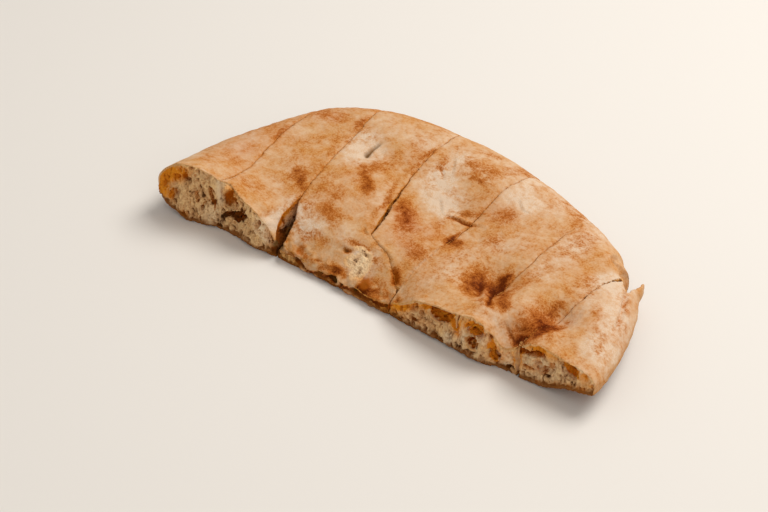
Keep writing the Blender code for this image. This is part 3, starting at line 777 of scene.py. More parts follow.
@dataclass
class SliceModel:
    """One slice of the bread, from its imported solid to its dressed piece."""

    number: int
    skin: OuterSkin
    grain: float = 0.75  # length of the even mesh's edges
    quick_grain: float = 1.3
    face_reach: float = 11.0  # the crumb this close behind the straight cut is made twice as fine
    smoothing: int = 26  # passes that take the facets out of the crust
    smoothed_most: float = 1.2  # and how far they may move it
    swell: float = 0.19  # how far each cut face springs back towards its neighbour
    seam_swell: float = 0.335  # and where the two sides lie shut
    tint_depth: float = 6.0  # depth below the crust at which Tint.DEPTH is 1
    torn_corner: int = 6  # the slice whose torn back corner crust has grown over
    swells: float = 0.30  # height of the crust's low swells
    wrinkles: float = 0.16
    shut_brink: float = 0.30  # how far the crust's edge rises beside a shut cut
    open_brink: float = 0.45  # and sinks beside an open one
    plain_toast: float = 0.45  # browning of the plain crust
    bloom: float = 0.22  # flour on it
    rosiness: float = 0.40
    scorch: float = 0.22  # browning round its foot
    fray: float = 1.3  # how far the crust's torn edge goes in and out
    strands: float = 1.9  # depth between the crumb's strands
    # strengths of the painted shade and painted warm light in the pores, cracks and holes
    pore_shade: float = 0.75
    crack_shade: float = 0.35
    crack_glow: float = 0.6
    hole_glow: float = 0.75
    hole_shade: float = 0.32
    fine: FineMesh = field(init=False)
    depth: Array = field(init=False)
    outward: Array = field(init=False)
    wall: Array = field(init=False)
    shut: Array = field(init=False)
    tints: dict[Tint, Array] = field(init=False)

    @property
    def node(self) -> str:
        """Name of the slice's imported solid."""
        return f"slice_{self.number}"

    def build(self, material: bpy.types.Material) -> bpy.types.Object:
        """Make the slice's piece.

        Args:
            material: what it is dressed in.

        Returns:
            The finished object, at the origin.
        """
        mesh = self.even_mesh()
        self.refine_face(mesh)
        self.fine = FineMesh(mesh)
        self.depth, self.outward = self.skin.measure(self.fine.points)
        self.tints = {tint: np.zeros(len(self.fine.points)) for tint in Tint}
        self.smooth_crust()
        self.close_cuts()
        self.stray_cuts()
        if self.number == self.torn_corner:
            self.round_corner()
        self.bake_crust()
        self.tear_crumb()
        self.warm_holes()
        self.keep_in_box()
        self.fine.write()
        for tint, values in self.tints.items():
            self.fine.paint(tint.value, np.clip(values, 0.0, 1.5))
        mesh.name = f"bread_{self.node}"
        piece = add_object(f"bread_{self.node}", mesh)
        mesh.materials.clear()
        mesh.materials.append(material)
        mesh.shade_smooth()
        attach(piece, "root")
        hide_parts(self.node)
        return piece

    def even_mesh(self) -> bpy.types.Mesh:
        """Copy the solid, merge its loose triangles, and cover it with an even mesh."""
        bm = bmesh.new()
        bm.from_mesh(frame["nodes"][self.node].data)
        bmesh.ops.remove_doubles(bm, verts=bm.verts[:], dist=0.01 * MM)
        merged = bpy.data.meshes.new("merged")
        bm.to_mesh(merged)
        bm.free()
        helper = add_object("helper", merged)
        remesh = helper.modifiers.new("even", "REMESH")
        remesh.mode = "VOXEL"
        remesh.voxel_size = self.grain * MM
        graph = bpy.context.evaluated_depsgraph_get()
        mesh = bpy.data.meshes.new_from_object(helper.evaluated_get(graph))
        bpy.data.objects.remove(helper)
        bpy.data.meshes.remove(merged)
        return mesh

    def refine_face(self, mesh: bpy.types.Mesh) -> None:
        """Make the crumb of the straight cut, which shows most, twice as fine."""
        bm = bmesh.new()
        bm.from_mesh(mesh)
        limit = (FRONT_Y + self.face_reach) * MM
        edges = [
            edge for edge in bm.edges if all(v.co.y < limit and -0.9 < v.normal.z < 0.8 for v in edge.verts)
        ]
        bmesh.ops.subdivide_edges(bm, edges=edges, cuts=1, use_grid_fill=True)
        bmesh.ops.triangulate(bm, faces=[face for face in bm.faces if len(face.verts) > 4])
        bm.to_mesh(mesh)
        bm.free()

    def smooth_crust(self) -> None:
        """Take the solid's facets out of the crust, along its own outward direction only."""
        fine = self.fine
        crust = fade(self.depth, 0.15, 0.45)
        start = fine.points.copy()
        for _ in range(self.smoothing):
            move = fine.average(fine.points, crust) - fine.points
            lift = np.sum(move * self.outward, axis=1, keepdims=True)
            fine.points += 0.7 * lift * self.outward * crust[:, None]
        shift = np.sum((fine.points - start) * self.outward, axis=1)
        carried = np.clip(shift, -self.smoothed_most, self.smoothed_most) * crust
        for _ in range(6):  # the cut's edge just under the crust goes with it
            carried = np.where(crust > 0.5, carried, fine.average(carried))
        fine.points = start + carried[:, None] * self.outward

    def close_cuts(self) -> None:
        """Let the cut faces between slices swell until they nearly touch, as springy bread does."""
        fine = self.fine
        x, y, z = fine.points.T
        normals = fine.normals()
        sideways = normals - np.sum(normals * self.outward, axis=1, keepdims=True) * self.outward
        sideways = np.where((self.depth > 3.0)[:, None], normals, sideways)
        sideways[:, 2] = 0.0
        at_front = near_front(y, 3.0, 7.0)
        sideways[:, 1] *= 1.0 - at_front
        size = np.linalg.norm(sideways, axis=1)
        across = (np.abs(sideways[:, 1]) < 0.75 * np.maximum(size, 1e-6)) | (y > FRONT_Y + 5.0)
        self.wall = ease(size, 0.25, 0.6) * across
        self.shut = np.clip(sum(seam.share(x, y) for seam in SEAMS), 0.0, 1.0)
        amount = self.swell + Waves.CUT_FACE.at(fine.points) + 0.22 * at_front
        for spring in SPRINGS:
            amount = amount + spring.share(x, y, z)
        amount = amount + self.shut * (self.seam_swell + 0.25 * fade(self.depth, 0.8, 1.6) - amount)
        fine.points += (amount * self.wall / np.maximum(size, 1e-6))[:, None] * sideways

    def stray_cuts(self) -> None:
        """Shift all slices alike by a few tenths, so that the cuts between them run unevenly."""
        points = self.fine.points
        wander = Waves.STRAY.at(points * np.array([1.0, 1.0, 0.8]))
        at_front = near_front(points[:, 1], 2.0, 8.0)
        points[:, 0] += wander * fade(np.abs(points[:, 0]), 122.0, 130.0) * (1.0 + 0.9 * at_front)
        for nudge in NUDGES:
            if nudge.number == self.number:
                nudge.move(points)
        points[:, 0] -= 1.5 * at_front * hill(points[:, 0], -96.0, 9.0)

    def round_corner(self) -> None:
        """Round the torn back corner, which crust has grown over."""
        x, y, z = self.fine.points.T
        corner = hill(x, 101.0, 7.0) * hill(y, 28.0, 10.0)
        rise = np.clip(z - 5.0, 0.0, 16.0)
        self.fine.points[:, 0] -= 0.028 * rise**2 * corner
        self.fine.points[:, 1] -= 0.012 * rise**2 * corner
        grown = ease(corner, 0.25, 0.55)
        self.depth = self.depth * (1.0 - grown)
        self.tints[Tint.FLOUR] += 0.1 * grown
        self.tints[Tint.TOAST] += 0.02 * grown

    def bake_crust(self) -> None:
        """Give the crust its swells, folds and colours."""
        fine, points, tints = self.fine, self.fine.points, self.tints
        x, y, z = points.T
        upward = self.outward[:, 2]
        on_top = ease(upward, 0.0, 0.4)
        wave, wrinkle, wobble = (mix.at(points) for mix in (Waves.SWELL, Waves.WRINKLE, Waves.PATCH_RIM))
        brink = fine.bleed(ease(self.depth, 0.2, 0.5), 4)  # the crust beside a cut, browned there as painted shade along the cut's groove
        brink = brink * fade(self.depth, 0.3, 0.8) * (y > FRONT_Y + 2.5)
        lip = fine.bleed(ease(self.depth, 0.25, 0.6), 6)  # the crust above the straight cut, paler there: partly flour, partly a painted highlight on its edge
        lip = lip * near_front(y, 7.0, 11.0) * (np.abs(x + 20.0) > 44.0)
        lift = self.swells * wave + self.wrinkles * wrinkle + self.shut_brink * brink * self.shut
        brink = brink * (1.0 - self.shut)
        lift = lift - self.open_brink * brink * (1.0 + 0.6 * wave)
        tints[Tint.DEPTH] = self.depth / self.tint_depth
        # the lip's flour, and its lighter toast below, are partly a painted highlight on the crust's edge
        tints[Tint.FLOUR] += self.bloom * ease(Waves.BLOOM.at(points), -0.2, 0.9) + 0.35 * lip
        tints[Tint.ROSE] += self.rosiness * ease(Waves.ROSE.at(points), -0.2, 0.8)
        # brink's browning is painted shade beside the open cuts
        tints[Tint.TOAST] += self.plain_toast + Waves.BROWNING.at(points) + 0.14 * brink - 0.09 * lip
        u, v = x + Waves.PATCH_X.at(points), y + Waves.PATCH_Y.at(points)
        for patch in CRUST_PATCHES:
            patch.colour(tints, u, v, wobble, on_top)
        for fold in CRUST_FOLDS:
            rise, tint = fold.press(x, y, wrinkle)
            lift = lift + rise * on_top
            tints[fold.tint] += tint * on_top
        foot = fade(z + Waves.SCORCH.at(points), 1.0, 6.0)
        tints[Tint.TOAST] += self.scorch * foot * ease(upward, -0.6, 0.1)
        low = near_front(y, 2.0, 7.0) * fade(z, 11.0, 15.0)
        rugged = Waves.RUGGED.at(points)
        tints[Tint.TOAST] += 0.20 * low * (Waves.RUGGED_TOAST.at(points) - 0.5 * rugged)
        tints[Tint.GLOW] += 0.5 * low * ease(Waves.RUGGED_GLOW.at(points), 0.35, 0.9)
        lift = (lift + low * rugged) * fade(self.depth, 0.5, 1.4)
        fine.points = points + lift[:, None] * self.outward
        self.rag_edge(x, y)
        tints[Tint.SOLE] = ease(-upward, 0.1, 0.5) * fade(self.depth, 0.5, 1.1)

    def rag_edge(self, x: Array, y: Array) -> None:
        """Tear the crust's edge along the straight cut into uneven lobes, most of all on slice 6.

        Args:
            x, y: the points' places before the crust was baked.
        """
        edge = fade(self.depth, 1.0, 3.0) * near_front(y, 3.0, 9.0) * ease(self.outward[:, 2], 0.0, 0.4)
        ragged = 0.3 + 0.9 * hill(x, 74.0, 13.0) + 0.5 * hill(x, -66.0, 12.0)
        push = edge * ragged * Waves.LOBES.at(self.fine.points * np.array([1.0, 0.5, 0.5]))
        notch = 2.6 * edge * hill(x, -91.0, 4.5)
        self.fine.points[:, 1] += self.fray * push + notch
        self.fine.points[:, 2] += 0.5 * push

    def tear_crumb(self) -> None:
        """Open the crumb of the cut faces, and of the torn crust, into pits, strands and holes."""
        fine, tints, wall = self.fine, self.tints, self.wall
        points, normals = fine.points, fine.normals()
        x, y, _ = points.T
        torn = ease(tints[Tint.DEPTH] - self.depth / self.tint_depth, 0.1, 0.35)
        under = ease(-normals[:, 1], 0.45, 0.8) * near_front(y, 6.0, 9.0) * (np.abs(x + 20.0) > 40.0)
        tints[Tint.DEPTH] += 0.16 * under * ease(self.depth, 0.0, 0.15)
        crumb = np.maximum(ease(self.depth, 0.7, 1.6), 0.4 * torn)
        rows = np.flatnonzero(crumb > 0.0)
        near = points[rows]
        near = near + 0.9 * np.stack([ripple(near, 3.4, seed) for seed in (31, 32, 33)], axis=1)
        long = near * np.array([1.0, 1.0, 0.5])
        strand = np.abs(Waves.STRAND.at(long)) + np.abs(Waves.THIN_STRAND.at(long))
        pitted = sum(pores.at(near) for pores in PORES) + self.strands * strand
        inner = ease(self.depth[rows], 2.0, 6.0) * ease(y[rows], FRONT_Y + 2.0, FRONT_Y + 6.0)
        sink = np.zeros(len(points))
        sink[rows] = (pitted + Waves.CRUMB.at(near) - 1.1) * (1.0 - wall[rows] * (1.0 - inner))
        sink = np.maximum(sink, -2.0 * fade(wall, 0.0, 0.6))  # no cut face bulges into its neighbour
        hollow = np.zeros(len(points))
        hollow[rows] = ease(pitted, 0.8, 2.8)
        fine.points = points - (sink * crumb)[:, None] * normals
        self.open_holes(points, normals, crumb * near_front(y, 15.0, 19.0) * (1.0 - 0.4 * torn))
        # painted shade in the crumb's deeper pits
        tints[Tint.SHADE] += self.pore_shade * hollow * crumb
        self.shade_gaps(points)
        self.foot_crust_and_shadow(points, normals)

    def open_holes(self, points: Array, normals: Array, on_face: Array) -> None:
        """Open the holes in the straight cut's face, and tint it, with painted shade and painted warm light inside
        each hole.

        Args:
            points, normals: the slice before its crumb was torn.
            on_face: how much each point belongs to the face's crumb.
        """
        fine, tints = self.fine, self.tints
        x, _, z = points.T
        wobble = Waves.HOLE_RIM.at(points)
        facing = on_face * ease(-normals[:, 1], 0.3, 0.7)
        for hole in FACE_HOLLOWS:
            fine.points[:, 1] += hole.sink(x, z, wobble) * facing
        # a hole's floor and back lie lower than its mouth, so their tint is looked up further on and higher
        behind = np.clip(fine.points[:, 1] - front_line(x), 0.0, 16.0)
        seen_x, seen_z = x + 0.76 * behind, z + 0.95 * behind
        for patch in FACE_PATCHES:
            patch.colour(tints, seen_x, seen_z, wobble, on_face)
        # painted shade and painted warm light inside each hole
        for hole in FACE_HOLLOWS:
            sunk = np.maximum(0.8 * hole.sink(x, z, wobble), hole.sink(seen_x, seen_z, wobble))
            share = ease(sunk / hole.deep, 0.0, 0.8) * on_face
            tints[Tint.SHADE] += (1.1 - 0.95 * hole.glow) * min(1.0, hole.deep / 3.5) * share
            tints[Tint.GLOW] += hole.glow * share

    def shade_gaps(self, points: Array) -> None:
        """Paint shade and warm light on the walls of the cuts just under the crust, and in the open slit, which is
        darkest low down.

        Args:
            points: the slice before its crumb was torn.
        """
        x, y, z = points.T
        crack = self.wall * fade(self.depth, 2.0, 5.0) * ease(self.depth, 0.4, 1.0)
        crack = crack * ease(y, FRONT_Y + 3.0, FRONT_Y + 6.0) * (1.0 - self.shut)
        gaping = hill(x, -58.0, 7.0) * hill(y, -50.0, 18.0) * ease(self.depth, 0.3, 1.1)
        low_down = fade(z, 10.0, 19.0)
        self.tints[Tint.SHADE] += self.crack_shade * crack + gaping * (0.30 + 0.75 * low_down)
        self.tints[Tint.GLOW] += self.crack_glow * crack + gaping * (0.80 - 0.75 * low_down)

    def foot_crust_and_shadow(self, points: Array, normals: Array) -> None:
        """Bring the bottom crust up over the foot of the cut faces, unevenly; on the straight cut's face its dark
        band is partly painted contact shadow.

        Args:
            points, normals: the slice before its crumb was torn.
        """
        low = self.skin.above_sole(points) + Waves.FOOT.at(points)
        front = ease(-normals[:, 1], 0.2, 0.6) * near_front(points[:, 1], 6.0, 10.0)
        foot = fade(low, 0.6 + 1.0 * front, 1.8 + 2.6 * front) * ease(self.depth, 0.2, 0.8)
        self.tints[Tint.SOLE] = np.maximum(self.tints[Tint.SOLE], foot)
        self.fine.points[:, 2] += 0.8 * foot * front * ease(Waves.FOOT_RISE.at(points), -0.2, 0.8)

    def warm_holes(self) -> None:
        """Paint shade and warm light into holes in the face, where light would come only through moist crumb."""
        fine = self.fine
        points, normals = fine.points, fine.normals()
        tree = BVHTree.FromPolygons(points.tolist(), [list(face.vertices) for face in fine.mesh.polygons])
        near = (self.depth > 0.4) & (points[:, 1] < FRONT_Y + 20.0) & (self.wall < 0.6)
        blocked = np.zeros(len(points))
        starts = points + 0.12 * normals
        for row in np.flatnonzero(near).tolist():
            start = Vector(starts[row])
            hits = sum(tree.ray_cast(start, way, 12.0)[0] is not None for way in HOLE_RAYS)
            blocked[row] = hits / len(HOLE_RAYS)
        for _ in range(2):
            blocked = np.where(near, 0.5 * blocked + 0.5 * fine.average(blocked, near.astype(float)), 0.0)
        warm = ease(blocked, 0.30, 0.85)
        self.tints[Tint.GLOW] += self.hole_glow * warm
        self.tints[Tint.SHADE] += self.hole_shade * warm

    def keep_in_box(self) -> None:
        """Keep the worked slice inside its solid's box."""
        low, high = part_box(self.node)
        self.fine.points = np.clip(self.fine.points, np.array(low) / MM, np.array(high) / MM)


# ---- materials ----


@dataclass(frozen=True)
class CrustFinish:
    """Colours of the crust, from floury to nearly burnt, and its layers of noise."""

    browning: tuple[tuple[float, Colour], ...] = (
        (0.00, (0.77, 0.56, 0.33)),
        (0.20, (0.67, 0.43, 0.215)),
        (0.38, (0.575, 0.31, 0.128)),
        (0.54, (0.53, 0.225, 0.056)),
        (0.70, (0.41, 0.125, 0.019)),
        (0.86, (0.23, 0.050, 0.005)),
        (1.00, (0.10, 0.016, 0.0015)),
    )
    flour: Colour = (0.68, 0.52, 0.38)
    rose: Colour = (0.97, 0.87, 1.15)  # multiplies the browned colour
    # painted shade in the crust's slits, cracks and holes
    shade: Colour = (0.14, 0.062, 0.012)
    roughness: float = 0.62
    broad: tuple[float, float] = (110.0, 4.0)  # patterns a metre, and detail
    mottle: tuple[float, float] = (300.0, 3.0)
    fleck: tuple[float, float] = (850.0, 2.0)
    grain: tuple[float, float] = (1700.0, 1.0)
    bump: float = 0.6  # its strength, and its depth in millimetres


@dataclass(frozen=True)
class CrumbFinish:
    """Colours of the crumb, and its layers of noise."""

    pale: Colour = (0.80, 0.475, 0.170)
    beige: Colour = (0.46, 0.195, 0.042)
    # brown, hole and ember are painted shade, moderate, deep, and deep in warm-lit crumb; glow is painted warm light,
    # partly the moist crumb's own orange
    brown: Colour = (0.38, 0.130, 0.020)
    glow: Colour = (0.74, 0.25, 0.012)
    hole: Colour = (0.050, 0.014, 0.003)
    ember: Colour = (0.40, 0.085, 0.003)
    rind: Colour = (0.64, 0.26, 0.045)
    floury: Colour = (0.84, 0.66, 0.43)
    # the bottom crust's colour, which along the face's foot is partly painted contact shadow
    sole: Colour = (0.22, 0.066, 0.009)
    roughness: float = 0.85
    moist_roughness: float = 0.42
    strand: tuple[float, float] = (900.0, 3.0)  # patterns a metre, and detail
    cloud: tuple[float, float] = (190.0, 3.0)
    grain: tuple[float, float] = (2100.0, 1.0)
    cells: float = 1000.0


class NodeSheet:
    """A node tree that is filled in step by step."""

    def __init__(self, tree: bpy.types.NodeTree) -> None:
        """Keep the tree."""
        self.tree = tree

    def give(self, node: bpy.types.Node, values: dict) -> bpy.types.Node:
        """Fill a node's inputs.

        Args:
            node: the node.
            values: what goes into each, as a link or a plain value, by name or number.

        Returns:
            The node.
        """
        for name, value in values.items():
            if isinstance(value, Socket):
                self.tree.links.new(value, node.inputs[name])
            else:
                node.inputs[name].default_value = value
        return node

    def add(self, kind: str, values: dict, **settings: object) -> bpy.types.Node:
        """Add a node.

        Args:
            kind: Blender's name of its type.
            values: what goes into its inputs.
            settings: its own properties.

        Returns:
            The node.
        """
        node = self.tree.nodes.new(kind)
        for name, value in settings.items():
            setattr(node, name, value)
        return self.give(node, values)

    def maths(self, operation: str, first: object, *others: object) -> Socket:
        """Work out one number from others.

        Args:
            operation: Blender's name of it.
            first, others: the numbers, which are taken in turn.

        Returns:
            The result.
        """
        for other in others:
            first = self.add("ShaderNodeMath", {0: first, 1: other}, operation=operation).outputs[0]
        return first

    def remap(self, value: object, low: float, high: float, to_low: float = 0.0, to_high: float = 1.0) -> Socket:
        """Ease a value from one range into another."""
        values = {"Value": value, "From Min": low, "From Max": high, "To Min": to_low, "To Max": to_high}
        return self.add("ShaderNodeMapRange", values, interpolation_type="SMOOTHSTEP").outputs[0]

    def noise(self, vector: Socket, scale: float, detail: float) -> Socket:
        """Noise at a scale given in patterns a metre."""
        return self.add("ShaderNodeTexNoise", {"Vector": vector, "Scale": scale, "Detail": detail}).outputs[0]

    def blend(self, share: object, first: object, second: object) -> Socket:
        """Mix two numbers."""
        return self.add("ShaderNodeMix", {0: share, 2: first, 3: second}).outputs[0]

    def mix(self, share: object, first: object, second: object, way: str = "MIX") -> Socket:
        """Mix two colours."""
        values = {"Factor": share}
        for index, value in ((6, first), (7, second)):
            values[index] = value if isinstance(value, Socket) else (*value, 1.0)
        return self.add("ShaderNodeMix", values, data_type="RGBA", blend_type=way).outputs[2]

    def ramp(self, value: Socket, stops: tuple[tuple[float, Colour], ...]) -> Socket:
        """Turn a value into a colour."""
        node = self.add("ShaderNodeValToRGB", {"Fac": value})
        elements = node.color_ramp.elements
        while len(elements) < len(stops):
            elements.new(0.5)
        for element, (position, colour) in zip(elements, stops):
            element.position, element.color = position, (*colour, 1.0)
        return node.outputs[0]


class EffectGroup(NodeSheet):
    """A shader node group that turns named inputs into a surface's colour, roughness and height."""

    def __init__(self, name: str, numbers: tuple[str, ...]) -> None:
        """Make the group and its sockets.

        Args:
            name: its name.
            numbers: names of its inputs besides the place.
        """
        super().__init__(bpy.data.node_groups.new(name, "ShaderNodeTree"))
        inputs = {"Place": "Vector"} | dict.fromkeys(numbers, "Float")
        outputs = {"Colour": "Color", "Roughness": "Float", "Height": "Float"}
        for sockets, way in ((inputs, "INPUT"), (outputs, "OUTPUT")):
            for socket, kind in sockets.items():
                self.tree.interface.new_socket(socket, in_out=way, socket_type=f"NodeSocket{kind}")
        self.given = self.tree.nodes.new("NodeGroupInput").outputs
        self.result = self.tree.nodes.new("NodeGroupOutput")

    def place(self, sheet: NodeSheet, values: dict) -> bpy.types.bpy_prop_collection:
        """Place the group in a material, and return its outputs."""
        return sheet.add("ShaderNodeGroup", values, node_tree=self.tree).outputs


class BreadMaterials:
    """The effects that the bread's materials share, and the materials."""

    def __init__(self, crust: CrustFinish, crumb: CrumbFinish) -> None:
        """Build the effect groups.

        Args:
            crust: colours of the crust.
            crumb: colours of the crumb.
        """
        self.crust, self.crumb = crust, crumb
        self.crust_group = self.crust_effect()
        self.crumb_group = self.crumb_effect()

    def crust_effect(self) -> EffectGroup:
        """Browned crust: blotches, streaks, blisters, flour and fine grain."""
        finish = self.crust
        group = EffectGroup("baked crust", ("Toast", "Flour", "Rose"))
        given, maths, remap = group.given, group.maths, group.remap
        broad, mottle, fleck, grain = (
            group.noise(given["Place"], *layer) for layer in (finish.broad, finish.mottle, finish.fleck, finish.grain)
        )
        toast = maths(
            "ADD",
            given["Toast"],
            remap(broad, 0.3, 0.7, -0.05, 0.05),
            remap(mottle, 0.3, 0.7, -0.055, 0.055),
            remap(fleck, 0.32, 0.68, -0.06, 0.06),
            remap(grain, 0.3, 0.7, -0.045, 0.045),
        )
        colour = group.ramp(toast, finish.browning)
        rosy = group.mix(1.0, colour, finish.rose, "MULTIPLY")
        colour = group.mix(maths("MULTIPLY", given["Rose"], 0.6), colour, rosy)
        dust = maths(
            "MULTIPLY",
            maths("ADD", given["Flour"], remap(broad, 0.7, 0.3, 0.04, 0.35)),
            remap(mottle, 0.68, 0.32, 0.6, 1.0),
            remap(grain, 0.3, 0.62, 0.45, 1.0),
            remap(toast, 0.48, 0.72, 1.0, 0.05),
        )
        dust = maths("MINIMUM", dust, 0.92)
        rough = remap(toast, 0.3, 0.9, finish.roughness + 0.10, finish.roughness - 0.08)
        relief = [maths("MULTIPLY", *pair) for pair in ((mottle, 0.7), (fleck, 0.5), (grain, 0.25))]
        surface = {
            "Colour": group.mix(dust, colour, finish.flour),
            "Roughness": maths("ADD", rough, maths("MULTIPLY", dust, 0.15)),
            "Height": maths("ADD", *relief),
        }
        group.give(group.result, surface)
        return group

    def crumb_effect(self) -> EffectGroup:
        """Torn crumb: beige strands, pits with painted shade, and orange places of painted warm light and moist
        crumb.
        """
        finish = self.crumb
        group = EffectGroup("torn crumb", ("Glow", "Shade", "Rind", "Flour"))
        given, maths, remap, mix = group.given, group.maths, group.remap, group.mix
        place = given["Place"]
        stretched = group.add("ShaderNodeMapping", {"Vector": place, "Scale": (1.0, 1.0, 0.55)}).outputs[0]
        strand = group.noise(stretched, *finish.strand)
        cloud = group.noise(place, *finish.cloud)
        grain = group.noise(place, *finish.grain)
        cell = group.add("ShaderNodeTexVoronoi", {"Vector": place, "Scale": finish.cells}).outputs[0]
        # pale where the strands stand high: partly the crumb's uneven tone, partly painted light on their crests
        blotch = [maths("MULTIPLY", *pair) for pair in ((strand, 0.45), (cloud, 0.4), (grain, 0.15))]
        colour = mix(remap(maths("ADD", *blotch), 0.38, 0.62), finish.beige, finish.pale)
        colour = mix(given["Rind"], colour, finish.rind)
        floury = maths("MINIMUM", maths("MULTIPLY", given["Flour"], 0.85), 0.95)
        colour = mix(floury, colour, finish.floury)
        # painted warm light, stronger in the strands' valleys
        glow = maths("MINIMUM", maths("MULTIPLY", given["Glow"], remap(strand, 0.3, 0.7, 1.15, 0.75)), 0.97)
        colour = mix(glow, colour, finish.glow)
        # painted shade in the pits and the strands' valleys, added to the shade attribute
        pitted = maths("MULTIPLY", remap(cell, 0.35, 0.0), 0.20)
        dark = maths("ADD", given["Shade"], maths("ADD", pitted, remap(strand, 0.50, 0.34, 0.0, 0.30)))
        colour = mix(remap(dark, 0.05, 0.60, 0.0, 0.45), colour, mix(glow, finish.brown, finish.ember))
        colour = mix(remap(dark, 0.45, 1.05, 0.0, 0.97), colour, mix(glow, finish.hole, finish.ember))
        surface = {
            "Colour": colour,
            "Roughness": remap(given["Glow"], 0.0, 1.0, finish.roughness, finish.moist_roughness),
            "Height": maths("ADD", strand, maths("MULTIPLY", cell, 0.8)),
        }
        group.give(group.result, surface)
        return group

    def bread(self, name: str, bake: float) -> bpy.types.Material:
        """One slice's material.

        Args:
            name: its name.
            bake: how much darker this slice was baked, about 0.

        Returns:
            The material, which reads the slice's attributes.
        """
        material = bpy.data.materials.new(name)
        material.use_nodes = True
        sheet = NodeSheet(material.node_tree)
        place = sheet.add("ShaderNodeTexCoord", {}).outputs["Object"]
        toast, flour, rose, glow, shade, depth, sole = (
            sheet.add("ShaderNodeAttribute", {}, attribute_name=tint.value).outputs["Fac"] for tint in Tint
        )
        toast = sheet.maths("ADD", toast, bake)
        depth = sheet.maths("ADD", depth, sheet.remap(sheet.noise(place, 800.0, 2.0), 0.3, 0.7, -0.03, 0.03))
        rind = sheet.remap(depth, 0.10, 0.40, 0.80, 0.0)
        edge = sheet.remap(depth, 0.05, 0.12)
        crust = self.crust_group.place(sheet, {"Place": place, "Toast": toast, "Flour": flour, "Rose": rose})
        crumb = self.crumb_group.place(
            sheet, {"Place": place, "Glow": glow, "Shade": shade, "Rind": rind, "Flour": flour}
        )
        # painted warm light turns the crust toward ember, painted shade toward the crust's shade colour
        top = sheet.mix(sheet.maths("MINIMUM", glow, 0.9), crust["Colour"], self.crumb.ember)
        top = sheet.mix(sheet.maths("MINIMUM", shade, 0.95), top, self.crust.shade)
        colour = sheet.mix(edge, top, crumb["Colour"])
        # bottom crust, along the face's foot partly painted contact shadow
        colour = sheet.mix(sheet.maths("MULTIPLY", sole, 0.9), colour, self.crumb.sole)
        rough, height = (sheet.blend(edge, crust[way], crumb[way]) for way in ("Roughness", "Height"))
        bump = {"Height": height, "Strength": self.crust.bump, "Distance": self.crust.bump * MM}
        surface = {
            "Base Color": colour,
            "Roughness": rough,
            "Normal": sheet.add("ShaderNodeBump", bump).outputs[0],
            "Specular IOR Level": 0.0,
        }
        sheet.give(material.node_tree.nodes["Principled BSDF"], surface)
        return material


# ---- studio ----


@dataclass(frozen=True)
class CameraPlace:
    """The camera, as fitted to the photograph."""

    aim: tuple[float, float, float] = (-1.259, -43.353, 18.0)
    azimuth: float = 37.438
    height: float = math.degrees(0.646212)
    roll: float = math.degrees(0.0379417)
    distance: float = 857.2
    lens: float = 1677.65 * 36.0 / 768.0
    sensor: float = 36.0


@dataclass(frozen=True)
class SoftLight:
    """One square area light, aimed at the bread."""

    name: str
    azimuth: float
    height: float
    distance: float
    size: float
    power: float
    colour: Colour


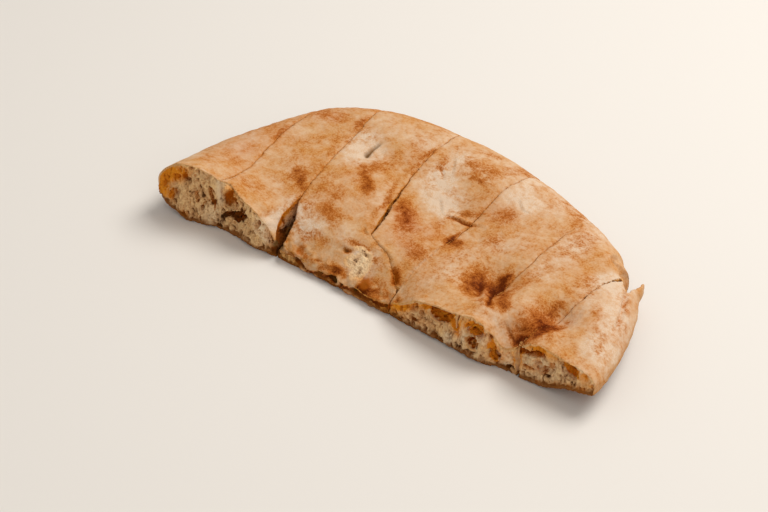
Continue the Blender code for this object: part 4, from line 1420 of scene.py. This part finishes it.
@dataclass
class Studio:
    """Floor, light and camera."""

    place: CameraPlace
    lights: tuple[SoftLight, ...] = (
        SoftLight("key", 158.0, 60.0, 1500.0, 900.0, 19.0, (1.0, 0.975, 0.94)),
        SoftLight("fill", 55.0, 38.0, 1800.0, 1600.0, 5.5, (1.0, 0.96, 0.91)),
    )
    floor_half: float = 4000.0
    floor_colour: Colour = (0.74, 0.70, 0.65)
    surround: Colour = (1.0, 0.98, 0.95)
    surround_strength: float = 0.45

    @staticmethod
    def direction(azimuth: float, height: float) -> Vector:
        """Unit vector away from the bread; azimuth 0 is the front, and 90 the right."""
        a, h = math.radians(azimuth), math.radians(height)
        return Vector((math.sin(a) * math.cos(h), -math.cos(a) * math.cos(h), math.sin(h)))

    def build(self) -> None:
        """Make everything round the bread."""
        self.add_floor()
        for light in self.lights:
            self.add_light(light)
        self.add_world()
        self.add_camera()
        bpy.context.scene.view_settings.view_transform = "Standard"

    def add_floor(self) -> None:
        """A plain pale floor."""
        bm = bmesh.new()
        bmesh.ops.create_grid(bm, x_segments=1, y_segments=1, size=self.floor_half * MM)
        mesh = bpy.data.meshes.new("floor")
        bm.to_mesh(mesh)
        bm.free()
        material = bpy.data.materials.new("pale floor")
        material.use_nodes = True
        finish = {"Base Color": (*self.floor_colour, 1.0), "Roughness": 0.8}
        NodeSheet(material.node_tree).give(material.node_tree.nodes["Principled BSDF"], finish)
        mesh.materials.append(material)
        floor = add_object("floor", mesh)

    def add_light(self, light: SoftLight) -> None:
        """Place one soft light so that it looks at the bread."""
        lamp = bpy.data.lights.new(light.name, "AREA")
        lamp.size, lamp.energy, lamp.color = light.size * MM, light.power, light.colour
        thing = add_object(light.name, lamp)
        way = self.direction(light.azimuth, light.height)
        thing.location = way * light.distance * MM
        thing.rotation_euler = way.to_track_quat("Z", "Y").to_euler()

    def add_world(self) -> None:
        """An even pale surround."""
        world = bpy.data.worlds.new("surround")
        bpy.context.scene.world = world
        world.use_nodes = True
        values = {"Color": (*self.surround, 1.0), "Strength": self.surround_strength}
        NodeSheet(world.node_tree).give(world.node_tree.nodes["Background"], values)

    def add_camera(self) -> None:
        """The camera at the photograph's place, with its slight roll."""
        place = self.place
        back = self.direction(place.azimuth, place.height)
        azimuth, roll = math.radians(place.azimuth), math.radians(place.roll)
        level = Vector((math.cos(azimuth), math.sin(azimuth), 0.0))
        upright = back.cross(level)
        right = level * math.cos(roll) + upright * math.sin(roll)
        above = upright * math.cos(roll) - level * math.sin(roll)
        data = bpy.data.cameras.new("camera")
        data.lens, data.sensor_width = place.lens, place.sensor
        camera = add_object("camera", data)
        turn = Matrix((right, above, back)).transposed().to_4x4()
        spot = (Vector(place.aim) + back * place.distance) * MM
        camera.matrix_world = Matrix.Translation(spot) @ turn
        bpy.context.scene.camera = camera


SLICE_BAKE = (0.01, 0.012, 0.01, 0.02, 0.012, 0.01, -0.005)  # how much darker each slice was baked


def main() -> None:
    """Build the studio and the seven slices."""
    logging.basicConfig(level=logging.INFO, format="%(name)s: %(message)s")
    Studio(CameraPlace()).build()
    materials = BreadMaterials(CrustFinish(), CrumbFinish())
    skin = OuterSkin(frame["nodes"])
    for number, bake in enumerate(SLICE_BAKE, start=1):
        piece = SliceModel(number, skin).build(materials.bread(f"bread slice {number}", bake))
        log.info("%s: %d faces", piece.name, len(piece.data.polygons))


if __name__ == "__main__":
    main()
